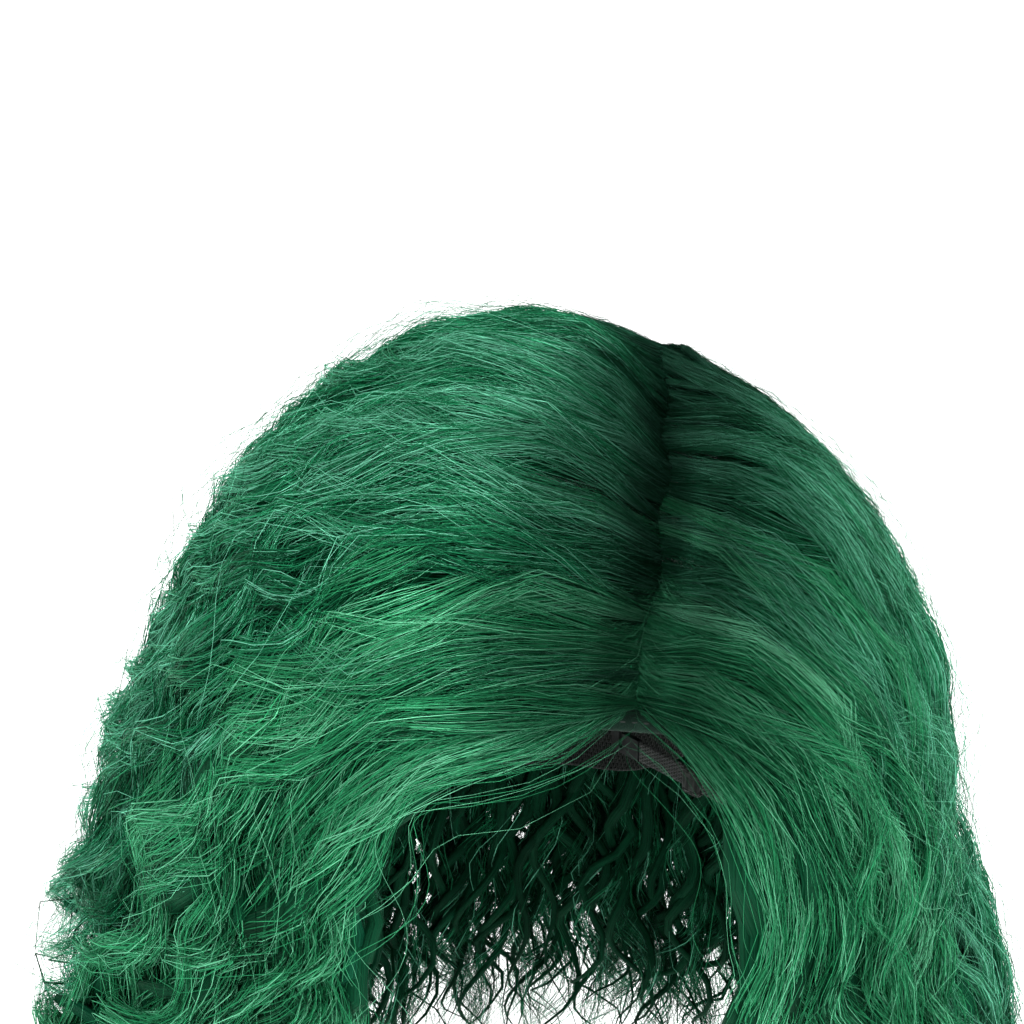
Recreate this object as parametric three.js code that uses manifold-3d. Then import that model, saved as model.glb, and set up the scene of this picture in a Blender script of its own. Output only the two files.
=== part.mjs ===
// A curly costume wig with a side parting: a machine-made stretch cap, the wefts sewn round it,
// and the hair that hangs from them. Millimetres, +Z up. The wearer faces -Y and +X is the wearer's
// left. The origin is the inside of the cap at its top, where the wearer's head meets it.
import * as THREE from "three";
import { mergeVertices } from "three/addons/utils/BufferGeometryUtils.js";
import Module from "manifold-3d";

const wasm = await Module();
wasm.setup();

// ---------------------------------------------------------------- driving dimensions

// Head that the cap is cut for
const headHalfWidth = 77;
const headHalfLength = 98;
const headRise = 108; // crown to the widest level of the head

// Cap fabric, in layers outwards from the head
const layerGap = 0.3; // between sewn pieces
const layerRoom = 1.1; // between one layer of the cap and the next
const bandThickness = 0.8;
const netThickness = 0.6;
const netOverlap = 6; // net's hem to the cap's edge, over the bands
const ribbonThickness = 0.8;
const weftThickness = 1.4;

// Cap pieces
const bandWidth = 22; // front hairline band
const earBandWidth = 12;
const napeBandWidth = 18;
const seamGap = 0.5; // between two cap pieces sewn edge to edge
const ribbonWidth = 10;
const partingWidth = 26;
const partingLength = 118;
const partingLean = THREE.MathUtils.degToRad(15.5); // parting plane from upright, to the left
const partingInset = 6; // parting base's front end behind the cap's edge
const weftHeight = 3;
const backWeftRows = 7;
const crownWeftRows = 2;
const backWeftOffset = 0.5; // first back row below its start, as a share of the rows' pitch
const crownWeftOffset = 0.4; // the same for the crown rows

// Ear tabs
const earTabWidth = 22;
const earTabLength = 34;
const tabRimSlack = 1; // extra room at the fold
const tabTaper = 0.75; // share of the tab's width, squared, that is gone at its end
const stayWidth = 3;
const stayThickness = 0.9;
const stayMargin = 5; // stay's ends to the tab's ends

// Nape adjusters
const adjusterDrop = 47; // below the widest level of the head
const strapWidth = 8;
const strapThickness = 1;
const strapLength = 38;
const strapTravel = 18;
const hookNearest = 9; // hook's end to the middle of the nape, strap fully taken up
const hookStandOff = 5.5; // and to the band there
const hookLength = 11;
const hookThickness = 1.4;
const hookSlotWidth = 1.6;
const hookEye = 3; // hook's end to its slot
const hookRim = 2; // hook's edge to its slot
const keeperWall = 1.2;
const keeperLength = 7;
const keeperClearance = 0.5;
const keeperBase = 5; // from the passage out towards the band
const loopTapeWidth = 9;
const loopTapeLength = 26;
const loopTapeThickness = 0.8;
const loopCount = 4;
const loopRise = 1.6;

// Hair
const crownHairRise = 19; // above the head at the crown
const hairHalfWidth = 125; // at the widest level of the head
const hairFront = 112; // forwards of the head's centre, at the widest level
const hairBack = 130; // behind the head's centre, at the widest level
const hairFlare = 28; // how much wider each side is at jaw level
const hairTuck = 14; // how far the ends come back in
const jawDrop = 120; // below the widest level, where the hair is widest
const hairDrop = 226; // below the widest level, where the hair ends
const hairLiftCrown = 9.2; // hair's inner surface from the head at the crown
const hairLiftEar = 15; // the same at ear level
const neckInset = 16; // how much the hair closes in behind the neck
const hairLiningPast = 10; // how far the hair's inner surface runs on below its ends
const sectionGap = 0.4; // between neighbouring hair sections
const partingGap = 3;

// Hair sections
const frontZone = -45; // between front and side sections, from the head's centre
const backZone = 45; // between side and back sections
const swingDrop = 45; // hinge level of the loose lengths, below the widest level
const sideHinge = 95; // hinge line of a side length, out from the centre
const backHinge = 80; // hinge line of the back lengths, behind the centre
const swingRoom = THREE.MathUtils.degToRad(27); // slope over a length, which its swing uses up

// Face opening
const faceHalfWidth = 48;
const faceBottomHalfWidth = 58;
const faceApexX = 16;
const faceApexRise = 68; // above the widest level
const faceFringeRise = 56;
const faceFringeCrest = 1; // how much the fringe line rises towards the apex
const faceCornerRight = [0.4, 0.8]; // corner of the opening, in from its side and down from its top
const faceCornerLeft = [0.25, 0.7]; // both as shares of how far the corners round off
const faceShoulderLeft = 0.6; // where the left corner starts, as the same share
const faceDepth = 62; // how far in from the hair's front the opening is cut

// Solids
const cutPast = 1; // how far a cutter passes through what it cuts
const weldDistance = 1e-4;
const edgeBisections = 40;

// ---------------------------------------------------------------- materials

const finishes = {
  hair: [0x14663f, 0.55, 0],
  lace: [0x1b1d1c, 0.9, 0],
  elastic: [0x222624, 0.85, 0],
  scalp: [0x7c9a7f, 0.8, 0],
  weft: [0x0f3f29, 0.85, 0],
  velvet: [0x1a2420, 0.95, 0],
  plastic: [0x151515, 0.4, 0],
  steel: [0xb8bcc0, 0.35, 0.9],
};

function finish(name) {
  const [color, roughness, metalness] = finishes[name];
  return new THREE.MeshStandardMaterial({ color, roughness, metalness });
}

const wig = new THREE.Group();
const degrees = THREE.MathUtils.degToRad;

function addPiece(name, geometry, finishName) {
  const mesh = new THREE.Mesh(geometry, finish(finishName));
  mesh.name = name;
  wig.add(mesh);
  return mesh;
}

// ---------------------------------------------------------------- head form

const headCentre = new THREE.Vector3(0, 0, -headRise);

// A point on the head grown outwards by lift. turn goes from the face round to the wearer's left,
// drop from the crown down; both in radians.
function headPoint(turn, drop, lift) {
  const point = new THREE.Vector3(
    (headHalfWidth + lift) * Math.sin(drop) * Math.sin(turn),
    -(headHalfLength + lift) * Math.sin(drop) * Math.cos(turn),
    (headRise + lift) * Math.cos(drop),
  );
  return point.add(headCentre);
}

// ---------------------------------------------------------------- layout of the cap, in turns and drops

const frontReach = degrees(81);
const earReach = degrees(112);
const wholeTurn = 2 * Math.PI;
const ribbonStart = degrees(38);
const ribbonTurns = { centre: 180, left: 146, right: 214, ear_left: 116, ear_right: 244 };
const backWeftStart = degrees(60);
const backWeftReachTop = degrees(86);
const backWeftReachNape = degrees(44);
const crownWeftStart = degrees(30);
const crownWeftReach = degrees(122);
const earTabTurn = degrees(84);
const strapLean = degrees(42); // strap's line from the X axis

// The cap's lower edge: how far above the widest level of the head it runs at each turn, as a
// share of headRise. It is the same on both sides.
const edgeCurve = new THREE.CatmullRomCurve3(
  [
    [0, 0.62],
    [35, 0.5],
    [62, 0.2],
    [82, -0.05],
    [102, 0.05],
    [126, -0.33],
    [150, -0.56],
    [180, -0.6],
  ].map(([turn, rise]) => new THREE.Vector3(turn, rise, 0)),
  false,
  "centripetal",
);

// Angle from the crown down to the cap's edge at a turn.
function edgeDrop(turn) {
  const target = Math.abs(THREE.MathUtils.radToDeg(turn));
  let low = 0;
  let high = 1;
  for (let step = 0; step < edgeBisections; step++) {
    const middle = (low + high) / 2;
    if (edgeCurve.getPoint(middle).x < target) {
      low = middle;
    } else {
      high = middle;
    }
  }
  return Math.acos(edgeCurve.getPoint((low + high) / 2).y);
}

// The angle that a length along the head spans, going down.
function dropOf(length) {
  return (2 * length) / (headHalfLength + headRise);
}

// The angle that a length round the head spans at a drop.
function turnOf(length, drop) {
  return (2 * length) / ((headHalfWidth + headHalfLength) * Math.sin(drop));
}

// ---------------------------------------------------------------- solids

function closedGeometry(positions, indices) {
  const loose = new THREE.BufferGeometry();
  loose.setAttribute("position", new THREE.Float32BufferAttribute(positions, 3));
  loose.setIndex(indices);
  const merged = mergeVertices(loose, weldDistance);
  const index = merged.getIndex().array;
  const kept = [];
  for (let i = 0; i < index.length; i += 3) {
    const [a, b, c] = [index[i], index[i + 1], index[i + 2]];
    if (a !== b && b !== c && a !== c) {
      kept.push(a, b, c);
    }
  }
  merged.setIndex(kept);
  return merged;
}

// A closed sheet of cloth: pointAt(u, v, side) gives its two faces, side 0 inwards, side 1 outwards.
function sheet(pointAt, acrossSteps, downSteps) {
  const positions = [];
  const indices = [];
  const at = (i, j, side) => (side * (acrossSteps + 1) + i) * (downSteps + 1) + j;
  for (let side = 0; side < 2; side++) {
    for (let i = 0; i <= acrossSteps; i++) {
      for (let j = 0; j <= downSteps; j++) {
        positions.push(...pointAt(i / acrossSteps, j / downSteps, side).toArray());
      }
    }
  }
  const quad = (a, b, c, d) => indices.push(a, b, c, a, c, d);
  for (let i = 0; i < acrossSteps; i++) {
    for (let j = 0; j < downSteps; j++) {
      quad(at(i, j, 1), at(i, j + 1, 1), at(i + 1, j + 1, 1), at(i + 1, j, 1));
      quad(at(i, j, 0), at(i + 1, j, 0), at(i + 1, j + 1, 0), at(i, j + 1, 0));
    }
  }
  for (let i = 0; i < acrossSteps; i++) {
    quad(at(i, 0, 0), at(i, 0, 1), at(i + 1, 0, 1), at(i + 1, 0, 0));
    quad(at(i, downSteps, 1), at(i, downSteps, 0), at(i + 1, downSteps, 0), at(i + 1, downSteps, 1));
  }
  for (let j = 0; j < downSteps; j++) {
    quad(at(0, j, 1), at(0, j, 0), at(0, j + 1, 0), at(0, j + 1, 1));
    quad(at(acrossSteps, j, 0), at(acrossSteps, j, 1), at(acrossSteps, j + 1, 1), at(acrossSteps, j + 1, 0));
  }
  return closedGeometry(positions, indices);
}

// A piece of the cap between two turns, from dropFrom(turn) to dropTo(turn), in one layer.
function capPatch(turnFrom, turnTo, dropFrom, dropTo, lift, thickness, acrossSteps, downSteps) {
  return sheet(
    (u, v, side) => {
      const turn = THREE.MathUtils.lerp(turnFrom, turnTo, u);
      const drop = THREE.MathUtils.lerp(dropFrom(turn), dropTo(turn), v);
      return headPoint(turn, drop, lift + side * thickness);
    },
    acrossSteps,
    downSteps,
  );
}

function solidOf(geometry) {
  const bare = geometry.clone();
  bare.deleteAttribute("normal");
  bare.deleteAttribute("uv");
  const merged = mergeVertices(bare, weldDistance);
  return new wasm.Manifold(
    new wasm.Mesh({
      numProp: 3,
      vertProperties: new Float32Array(merged.getAttribute("position").array),
      triVerts: new Uint32Array(merged.getIndex().array),
    }),
  );
}

function geometryOf(solid) {
  const mesh = solid.getMesh();
  const geometry = new THREE.BufferGeometry();
  geometry.setAttribute("position", new THREE.Float32BufferAttribute(mesh.vertProperties, 3));
  geometry.setIndex(Array.from(mesh.triVerts));
  return geometry;
}

// A prism over an outline of [across, up] points. Along "y" the outline lies in XZ and runs from
// one y to another; along "x" it lies in YZ.
function prism(points, along, from, to) {
  const shape = new THREE.Shape(points.map(([across, up]) => new THREE.Vector2(across, up)));
  const geometry = new THREE.ExtrudeGeometry(shape, { depth: to - from, bevelEnabled: false });
  const basis = new THREE.Matrix4();
  if (along === "y") {
    basis.makeRotationX(Math.PI / 2);
    geometry.applyMatrix4(basis);
    geometry.translate(0, to, 0);
  } else {
    basis.makeBasis(new THREE.Vector3(0, 1, 0), new THREE.Vector3(0, 0, 1), new THREE.Vector3(1, 0, 0));
    geometry.applyMatrix4(basis);
    geometry.translate(from, 0, 0);
  }
  return geometry;
}

// ---------------------------------------------------------------- cap

const netLift = bandThickness + layerRoom;
const ribbonLift = netLift + netThickness + layerRoom;
const weftLift = ribbonLift + ribbonThickness + layerRoom;

// The cap's edge, and lines that run a width above it, at any turn.
function rim(turn) {
  const around = THREE.MathUtils.euclideanModulo(turn + Math.PI, wholeTurn) - Math.PI;
  return edgeDrop(around);
}

function above(width) {
  return (turn) => rim(turn) - dropOf(width);
}

addPiece(
  "front_hairline_band",
  capPatch(-frontReach, frontReach, above(bandWidth), rim, 0, bandThickness, 34, 2),
  "velvet",
);

const bandSeam = turnOf(seamGap, Math.PI / 2);
for (const [side, hand] of [[1, "left"], [-1, "right"]]) {
  const turns = [side * (frontReach + bandSeam), side * earReach].sort((a, b) => a - b);
  addPiece(
    `ear_band_${hand}`,
    capPatch(...turns, above(earBandWidth), rim, 0, bandThickness, 9, 1),
    "elastic",
  );
}

const napeReach = earReach + bandSeam;
addPiece(
  "nape_band",
  capPatch(napeReach, wholeTurn - napeReach, above(napeBandWidth), rim, 0, bandThickness, 28, 2),
  "elastic",
);

// The stretch net is a dome whose hem lies over the bands.
function netDome(steps, rings) {
  const positions = [];
  const indices = [];
  const at = (i, j, side) => side * steps * (rings + 1) + j * steps + (i % steps);
  for (let side = 0; side < 2; side++) {
    for (let j = 0; j <= rings; j++) {
      for (let i = 0; i < steps; i++) {
        const turn = (wholeTurn * i) / steps;
        const drop = above(netOverlap)(turn) * (j / rings);
        positions.push(...headPoint(turn, drop, netLift + side * netThickness).toArray());
      }
    }
  }
  for (let j = 0; j < rings; j++) {
    for (let i = 0; i < steps; i++) {
      indices.push(at(i, j, 1), at(i, j + 1, 1), at(i + 1, j + 1, 1));
      indices.push(at(i, j, 1), at(i + 1, j + 1, 1), at(i + 1, j, 1));
      indices.push(at(i, j, 0), at(i + 1, j + 1, 0), at(i, j + 1, 0));
      indices.push(at(i, j, 0), at(i + 1, j, 0), at(i + 1, j + 1, 0));
    }
  }
  for (let i = 0; i < steps; i++) {
    indices.push(at(i, rings, 1), at(i, rings, 0), at(i + 1, rings, 0));
    indices.push(at(i, rings, 1), at(i + 1, rings, 0), at(i + 1, rings, 1));
  }
  return closedGeometry(positions, indices);
}

addPiece("crown_net", netDome(46, 13), "lace");

// A point over the top of the head: lean is the angle from upright towards the wearer's left, y is
// measured from the head's centre.
function overTop(lean, y, lift) {
  const share = y / (headHalfLength + lift);
  const around = Math.sqrt(1 - share * share);
  return new THREE.Vector3(
    (headHalfWidth + lift) * around * Math.sin(lean),
    y,
    (headRise + lift) * around * Math.cos(lean),
  ).add(headCentre);
}

const partingFront = -headHalfLength * Math.sin(edgeDrop(0)) + partingInset;
const partingHalfLean = partingWidth / 2 / headRise;
addPiece(
  "parting_base",
  sheet(
    (u, v, side) => {
      const y = THREE.MathUtils.lerp(partingFront, partingFront + partingLength, u);
      const lean = partingLean + THREE.MathUtils.lerp(-partingHalfLean, partingHalfLean, v);
      return overTop(lean, y, ribbonLift + side * ribbonThickness);
    },
    16,
    3,
  ),
  "scalp",
);

// Elastic ribbons run down the back of the net, and the wefts are sewn across them.
for (const [place, turnDegrees] of Object.entries(ribbonTurns)) {
  const middle = degrees(turnDegrees);
  const hem = above(netOverlap)(middle);
  addPiece(
    `ribbon_${place}`,
    sheet(
      (u, v, side) => {
        const drop = THREE.MathUtils.lerp(ribbonStart, hem, v);
        const turn = middle + (u - 0.5) * turnOf(ribbonWidth, drop);
        return headPoint(turn, drop, ribbonLift + side * ribbonThickness);
      },
      1,
      10,
    ),
    "elastic",
  );
}

// Wefts: rows from ear to ear down the back, and rows round the crown, open at the parting.
function weftRow(name, turnFrom, turnTo, dropAt, steps) {
  const lower = (turn) => dropAt(turn) + dropOf(weftHeight);
  const row = capPatch(turnFrom, turnTo, dropAt, lower, weftLift, weftThickness, steps, 1);
  addPiece(name, row, "weft");
}

for (let row = 0; row < backWeftRows; row++) {
  const share = (row + backWeftOffset) / backWeftRows;
  const reach = THREE.MathUtils.lerp(backWeftReachTop, backWeftReachNape, share);
  const dropAt = (turn) =>
    THREE.MathUtils.lerp(backWeftStart, above(weftHeight + netOverlap)(turn), share);
  weftRow(`back_weft_${row + 1}`, Math.PI - reach, Math.PI + reach, dropAt, 22);
}

for (let row = 0; row < crownWeftRows; row++) {
  const share = (row + crownWeftOffset) / crownWeftRows;
  const drop = THREE.MathUtils.lerp(crownWeftStart, backWeftStart, share);
  weftRow(`crown_weft_${row + 1}`, Math.PI - crownWeftReach, Math.PI + crownWeftReach, () => drop, 26);
}

// ---------------------------------------------------------------- ear tabs

// A tab hangs from the cap's edge in front of each ear, tapering to a round end, and its stay lies
// along the middle of its outer face.
for (const [side, hand] of [[1, "left"], [-1, "right"]]) {
  const middle = side * earTabTurn;
  const reach = turnOf(earTabWidth / 2, Math.PI / 2);
  const lowest = Math.max(...[-1, -0.5, 0, 0.5, 1].map((share) => rim(middle + share * reach)));
  const top = lowest + dropOf(seamGap + tabRimSlack);
  const tabPoint = (width, start, length, taper, lift) => (u, v, face) => {
    const drop = top + dropOf(start + v * length);
    const narrow = taper ? Math.sqrt(1 - tabTaper * v * v) : 1;
    const turn = middle + side * (u - 0.5) * turnOf(width * narrow, Math.PI / 2);
    return headPoint(turn, drop, lift(face));
  };
  const flip = (surface) => (side > 0 ? surface : (u, v, face) => surface(1 - u, v, face));
  addPiece(
    `ear_tab_${hand}`,
    sheet(flip(tabPoint(earTabWidth, 0, earTabLength, true, (face) => face * bandThickness)), 6, 8),
    "velvet",
  );
  const stayLift = (face) => bandThickness + layerGap + face * stayThickness;
  const stayLength = earTabLength - 2 * stayMargin;
  addPiece(
    `ear_tab_stay_${hand}`,
    sheet(flip(tabPoint(stayWidth, stayMargin, stayLength, false, stayLift)), 1, 6),
    "steel",
  );
}

// ---------------------------------------------------------------- nape adjusters

// Each strap lies on a straight line across the inside of the nape, from its keeper towards the
// loop tape at the middle. It is built for the left in a frame of its own: +X runs outwards along
// the strap, and the hook's inner end is at the origin.
const adjusterDropAngle = Math.acos(-adjusterDrop / headRise);
const napeDepth = headHalfLength * Math.sin(adjusterDropAngle);
const napeHalfWidth = headHalfWidth * Math.sin(adjusterDropAngle);
const bandBack = napeDepth * Math.sqrt(1 - (hookNearest / napeHalfWidth) ** 2);
const hookAcross = hookNearest + strapTravel * Math.cos(strapLean);
const hookBack = bandBack - hookStandOff - strapTravel * Math.sin(strapLean);

function boxOf(from, to) {
  const size = new THREE.Vector3().subVectors(to, from);
  const middle = new THREE.Vector3().addVectors(from, to).multiplyScalar(0.5);
  return new THREE.BoxGeometry(size.x, size.y, size.z).translate(middle.x, middle.y, middle.z);
}

function block(x0, x1, halfThickness, halfHeight) {
  return boxOf(
    new THREE.Vector3(x0, -halfThickness, -halfHeight),
    new THREE.Vector3(x1, halfThickness, halfHeight),
  );
}

function strapGeometry() {
  const start = hookLength + layerGap;
  return block(start, start + strapLength, strapThickness / 2, strapWidth / 2);
}

// A flat plastic hook: a plate with a slot, open at one side, that catches a loop.
function hookGeometry() {
  const half = strapWidth / 2;
  const plate = solidOf(block(0, hookLength, hookThickness / 2, half));
  const slot = solidOf(
    boxOf(
      new THREE.Vector3(hookEye, -hookThickness, hookRim - half),
      new THREE.Vector3(hookEye + hookSlotWidth, hookThickness, half + cutPast),
    ),
  );
  return geometryOf(plate.subtract(slot));
}

// The keeper is a sewn passage for the strap, with a base towards the band.
function keeperGeometry() {
  const inner = keeperClearance + strapThickness / 2;
  const tall = keeperClearance + strapWidth / 2;
  const body = solidOf(
    boxOf(
      new THREE.Vector3(0, -inner - keeperWall, -tall - keeperWall),
      new THREE.Vector3(keeperLength, inner + keeperBase, tall + keeperWall),
    ),
  );
  const passage = solidOf(block(-cutPast, keeperLength + cutPast, inner, tall));
  return geometryOf(body.subtract(passage));
}

const keeperStart = hookLength + strapLength / 2;
for (const [side, hand] of [[1, "left"], [-1, "right"]]) {
  const place = new THREE.Group();
  place.position.set(side * hookAcross, hookBack, -headRise - adjusterDrop);
  place.rotation.z = -side * strapLean;
  wig.add(place);
  const mirrored = (geometry) => (side > 0 ? geometry : geometryOf(solidOf(geometry).mirror([1, 0, 0])));
  place.add(
    addPiece(`adjuster_hook_${hand}`, mirrored(hookGeometry()), "plastic"),
    addPiece(`adjuster_strap_${hand}`, mirrored(strapGeometry()), "elastic"),
    addPiece(`strap_keeper_${hand}`, mirrored(keeperGeometry().translate(keeperStart, 0, 0)), "elastic"),
  );

  // The loop tape is sewn inside the band, with a row of raised loops for the hook.
  const tapeTurn = turnOf(loopTapeLength, adjusterDropAngle);
  const tapeMiddle = Math.PI - side * (tapeTurn + turnOf(layerGap, adjusterDropAngle)) / 2;
  const tapePoint = (u, v, face) => {
    const turn = tapeMiddle + (u - 0.5) * tapeTurn;
    const drop = adjusterDropAngle + (v - 0.5) * dropOf(loopTapeWidth);
    const rise = loopRise * Math.max(0, Math.sin(wholeTurn * loopCount * u)) * Math.sin(Math.PI * v);
    return headPoint(turn, drop, face ? -layerGap : -layerGap - loopTapeThickness - rise);
  };
  addPiece(`loop_tape_${hand}`, sheet(tapePoint, 8 * loopCount, 4), "elastic");
}

// ---------------------------------------------------------------- hair

// The hair's outer and inner surfaces are stacks of ovals about the head's centre line. At a rise
// from the widest level of the head, an oval has a half width, a front and a back.
function smooth(share) {
  const s = THREE.MathUtils.clamp(share, 0, 1);
  return s * s * (3 - 2 * s);
}

const hairTop = headRise + crownHairRise;

function outerOval(rise) {
  if (rise > 0) {
    const around = Math.sqrt(Math.max(0, 1 - (rise / hairTop) ** 2));
    return { side: hairHalfWidth * around, front: hairFront * around, back: hairBack * around };
  }
  const flare = hairFlare * smooth(-rise / jawDrop);
  const tuck = hairTuck * smooth((-rise - jawDrop) / (hairDrop - jawDrop));
  return {
    side: hairHalfWidth + flare - tuck,
    front: hairFront + (flare - tuck) / 4,
    back: hairBack + (flare - tuck) / 4,
  };
}

const innerTop = headRise + hairLiftCrown;

function innerOval(rise) {
  const side = headHalfWidth + hairLiftEar;
  const length = headHalfLength + hairLiftCrown;
  if (rise > 0) {
    const around = Math.sqrt(Math.max(0, 1 - (rise / innerTop) ** 2));
    return { side: side * around, front: length * around, back: length * around };
  }
  const inset = neckInset * smooth(-rise / (2 * swingDrop));
  return { side: side - inset / 2, front: length, back: length - inset };
}

// A closed solid of stacked ovals from the top down to a rise.
function stack(ovalAt, top, bottom, domeRings, skirtRings, steps) {
  const rises = [];
  for (let i = 1; i <= domeRings; i++) {
    rises.push(top * Math.cos((Math.PI / 2) * (i / domeRings)));
  }
  for (let i = 1; i <= skirtRings; i++) {
    rises.push((bottom * i) / skirtRings);
  }
  const positions = [0, 0, top];
  const indices = [];
  const at = (ring, i) => 1 + ring * steps + (i % steps);
  for (const rise of rises) {
    const { side, front, back } = ovalAt(rise);
    for (let i = 0; i < steps; i++) {
      const turn = (wholeTurn * i) / steps;
      const depth = Math.cos(turn) > 0 ? front : back;
      positions.push(side * Math.sin(turn), -depth * Math.cos(turn), rise);
    }
  }
  const last = rises.length - 1;
  positions.push(0, 0, bottom);
  const foot = positions.length / 3 - 1;
  for (let i = 0; i < steps; i++) {
    indices.push(0, at(0, i), at(0, i + 1));
    for (let ring = 0; ring < last; ring++) {
      indices.push(at(ring, i), at(ring + 1, i), at(ring + 1, i + 1));
      indices.push(at(ring, i), at(ring + 1, i + 1), at(ring, i + 1));
    }
    indices.push(foot, at(last, i + 1), at(last, i));
  }
  const geometry = closedGeometry(positions, indices);
  return solidOf(geometry.translate(headCentre.x, headCentre.y, headCentre.z));
}

// Everything below is placed from the head's centre, so outlines are moved down by headRise.
const far = 2 * (hairHalfWidth + hairFlare + hairBack);

function cutter(points, along, from, to) {
  return solidOf(prism(points, along, from, to)).translate([0, 0, -headRise]);
}

// The opening for the face, and the groove at the parting.
const fringeRound = faceHalfWidth / 2; // how far the fringe line's corners round off
const faceOutline = [
  [faceApexX, faceApexRise],
  [faceApexX - fringeRound, faceFringeRise + faceFringeCrest],
  [-fringeRound, faceFringeRise],
  [fringeRound * faceCornerRight[0] - faceHalfWidth, faceFringeRise - fringeRound * faceCornerRight[1]],
  [-faceHalfWidth, 0],
  [-faceBottomHalfWidth, -far],
  [faceBottomHalfWidth, -far],
  [faceHalfWidth, 0],
  [faceHalfWidth - fringeRound * faceCornerLeft[0], faceFringeRise - fringeRound * faceCornerLeft[1]],
  [faceHalfWidth - fringeRound * faceShoulderLeft, faceFringeRise],
];
const faceCutter = cutter(faceOutline, "y", -far, faceDepth - hairFront);
const partingTop = far / 2;
const partingSide = partingGap / 2;
const partingCutter = cutter(
  [
    [-partingSide, 0],
    [partingSide, 0],
    [partingTop * Math.tan(partingLean) + partingSide, partingTop],
    [partingTop * Math.tan(partingLean) - partingSide, partingTop],
  ],
  "y",
  -far,
  partingFront + partingLength,
);

const outerHair = stack(outerOval, hairTop, -hairDrop, 9, 8, 48);
const innerHair = stack(innerOval, innerTop, -hairDrop - hairLiningPast, 9, 8, 48);
const hairShell = outerHair.subtract(innerHair).subtract(faceCutter).subtract(partingCutter);

// A convex outline drawn in by a margin on every side.
function inset(points, margin) {
  const count = points.length;
  const lines = points.map((point, i) => {
    const next = points[(i + 1) % count];
    const along = new THREE.Vector2(next[0] - point[0], next[1] - point[1]).normalize();
    const normal = new THREE.Vector2(-along.y, along.x);
    return { normal, reach: normal.x * point[0] + normal.y * point[1] + margin };
  });
  return lines.map((line, i) => {
    const before = lines[(i + count - 1) % count];
    const cross = before.normal.x * line.normal.y - before.normal.y * line.normal.x;
    return [
      (before.reach * line.normal.y - line.reach * before.normal.y) / cross,
      (line.reach * before.normal.x - before.reach * line.normal.x) / cross,
    ];
  });
}

function counterClockwise(points) {
  return THREE.ShapeUtils.isClockWise(points.map(([x, y]) => new THREE.Vector2(x, y)))
    ? [...points].reverse()
    : points;
}

function hairSection(name, outline, along, from, to) {
  const margin = sectionGap / 2;
  const cell = cutter(inset(counterClockwise(outline), margin), along, from + margin, to - margin);
  addPiece(name, geometryOf(hairShell.intersect(cell)), "hair");
}

// A direction in XZ at a lean from upright, far out.
function ray(lean) {
  return [far * Math.sin(lean), far * Math.cos(lean)];
}

const hinge = -swingDrop;
const slope = far * Math.tan(swingRoom);
const frontLean = degrees(72);
const sideLean = degrees(56);

// Sections above the hinge level: each is a wedge over the head between two leans, or the block
// beside it down to the hinge level.
function wedgeSection(name, leanFrom, leanTo, from, to) {
  hairSection(name, [[0, 0], ray(leanFrom), ray(leanTo)], "y", from, to);
}

function sideSection(name, side, lean, from, to) {
  const [x, up] = ray(lean);
  hairSection(name, [[0, 0], [side * x, up], [side * x, hinge], [0, hinge]], "y", from, to);
}

wedgeSection("fringe_sweep", -frontLean, partingLean, -far, frontZone);
wedgeSection("temple_left", partingLean, frontLean, -far, frontZone);
wedgeSection("top_right", -sideLean, partingLean, frontZone, backZone);
wedgeSection("top_left", partingLean, sideLean, frontZone, backZone);
wedgeSection("crown_back_right", -sideLean, 0, backZone, far);
wedgeSection("crown_back_left", 0, sideLean, backZone, far);
for (const [side, hand] of [[1, "left"], [-1, "right"]]) {
  sideSection(`face_frame_${hand}`, side, frontLean, -far, frontZone);
  sideSection(`side_${hand}`, side, sideLean, frontZone, backZone);
  sideSection(`back_${hand}`, side, sideLean, backZone, far);

  // The loose lengths: their tops slope away from the hinge line, so they clear the hair above
  // when they swing out.
  const length = [
    [0, hinge],
    [side * sideHinge, hinge],
    [side * (sideHinge + far), hinge - slope],
    [side * (sideHinge + far), -far - slope],
    [0, -far - slope],
  ];
  hairSection(`face_length_${hand}`, length, "y", -far, frontZone);
  hairSection(`side_length_${hand}`, length, "y", frontZone, backZone);
}

const backOutline = [
  [backZone, hinge],
  [backHinge, hinge],
  [backHinge + far, hinge - slope],
  [backHinge + far, -far - slope],
  [backZone, -far - slope],
];
const backThird = (hairHalfWidth + hairFlare) / 3;
hairSection("back_length_right", backOutline, "x", -far, -backThird);
hairSection("back_length_centre", backOutline, "x", -backThird, backThird);
hairSection("back_length_left", backOutline, "x", backThird, far);

export default wig;
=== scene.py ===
"""Curly costume wig with a side parting: looks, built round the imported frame. Metres, +Z up.

The wearer faces -Y and +X is the wearer's left. The hair is grown lock by lock over an oval form
and spun into fibres; the stretch cap under it is sewn from bands, net, ribbons and wefts.
"""

import logging
import math
from collections.abc import Callable
from dataclasses import dataclass, field
from enum import Enum

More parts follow.
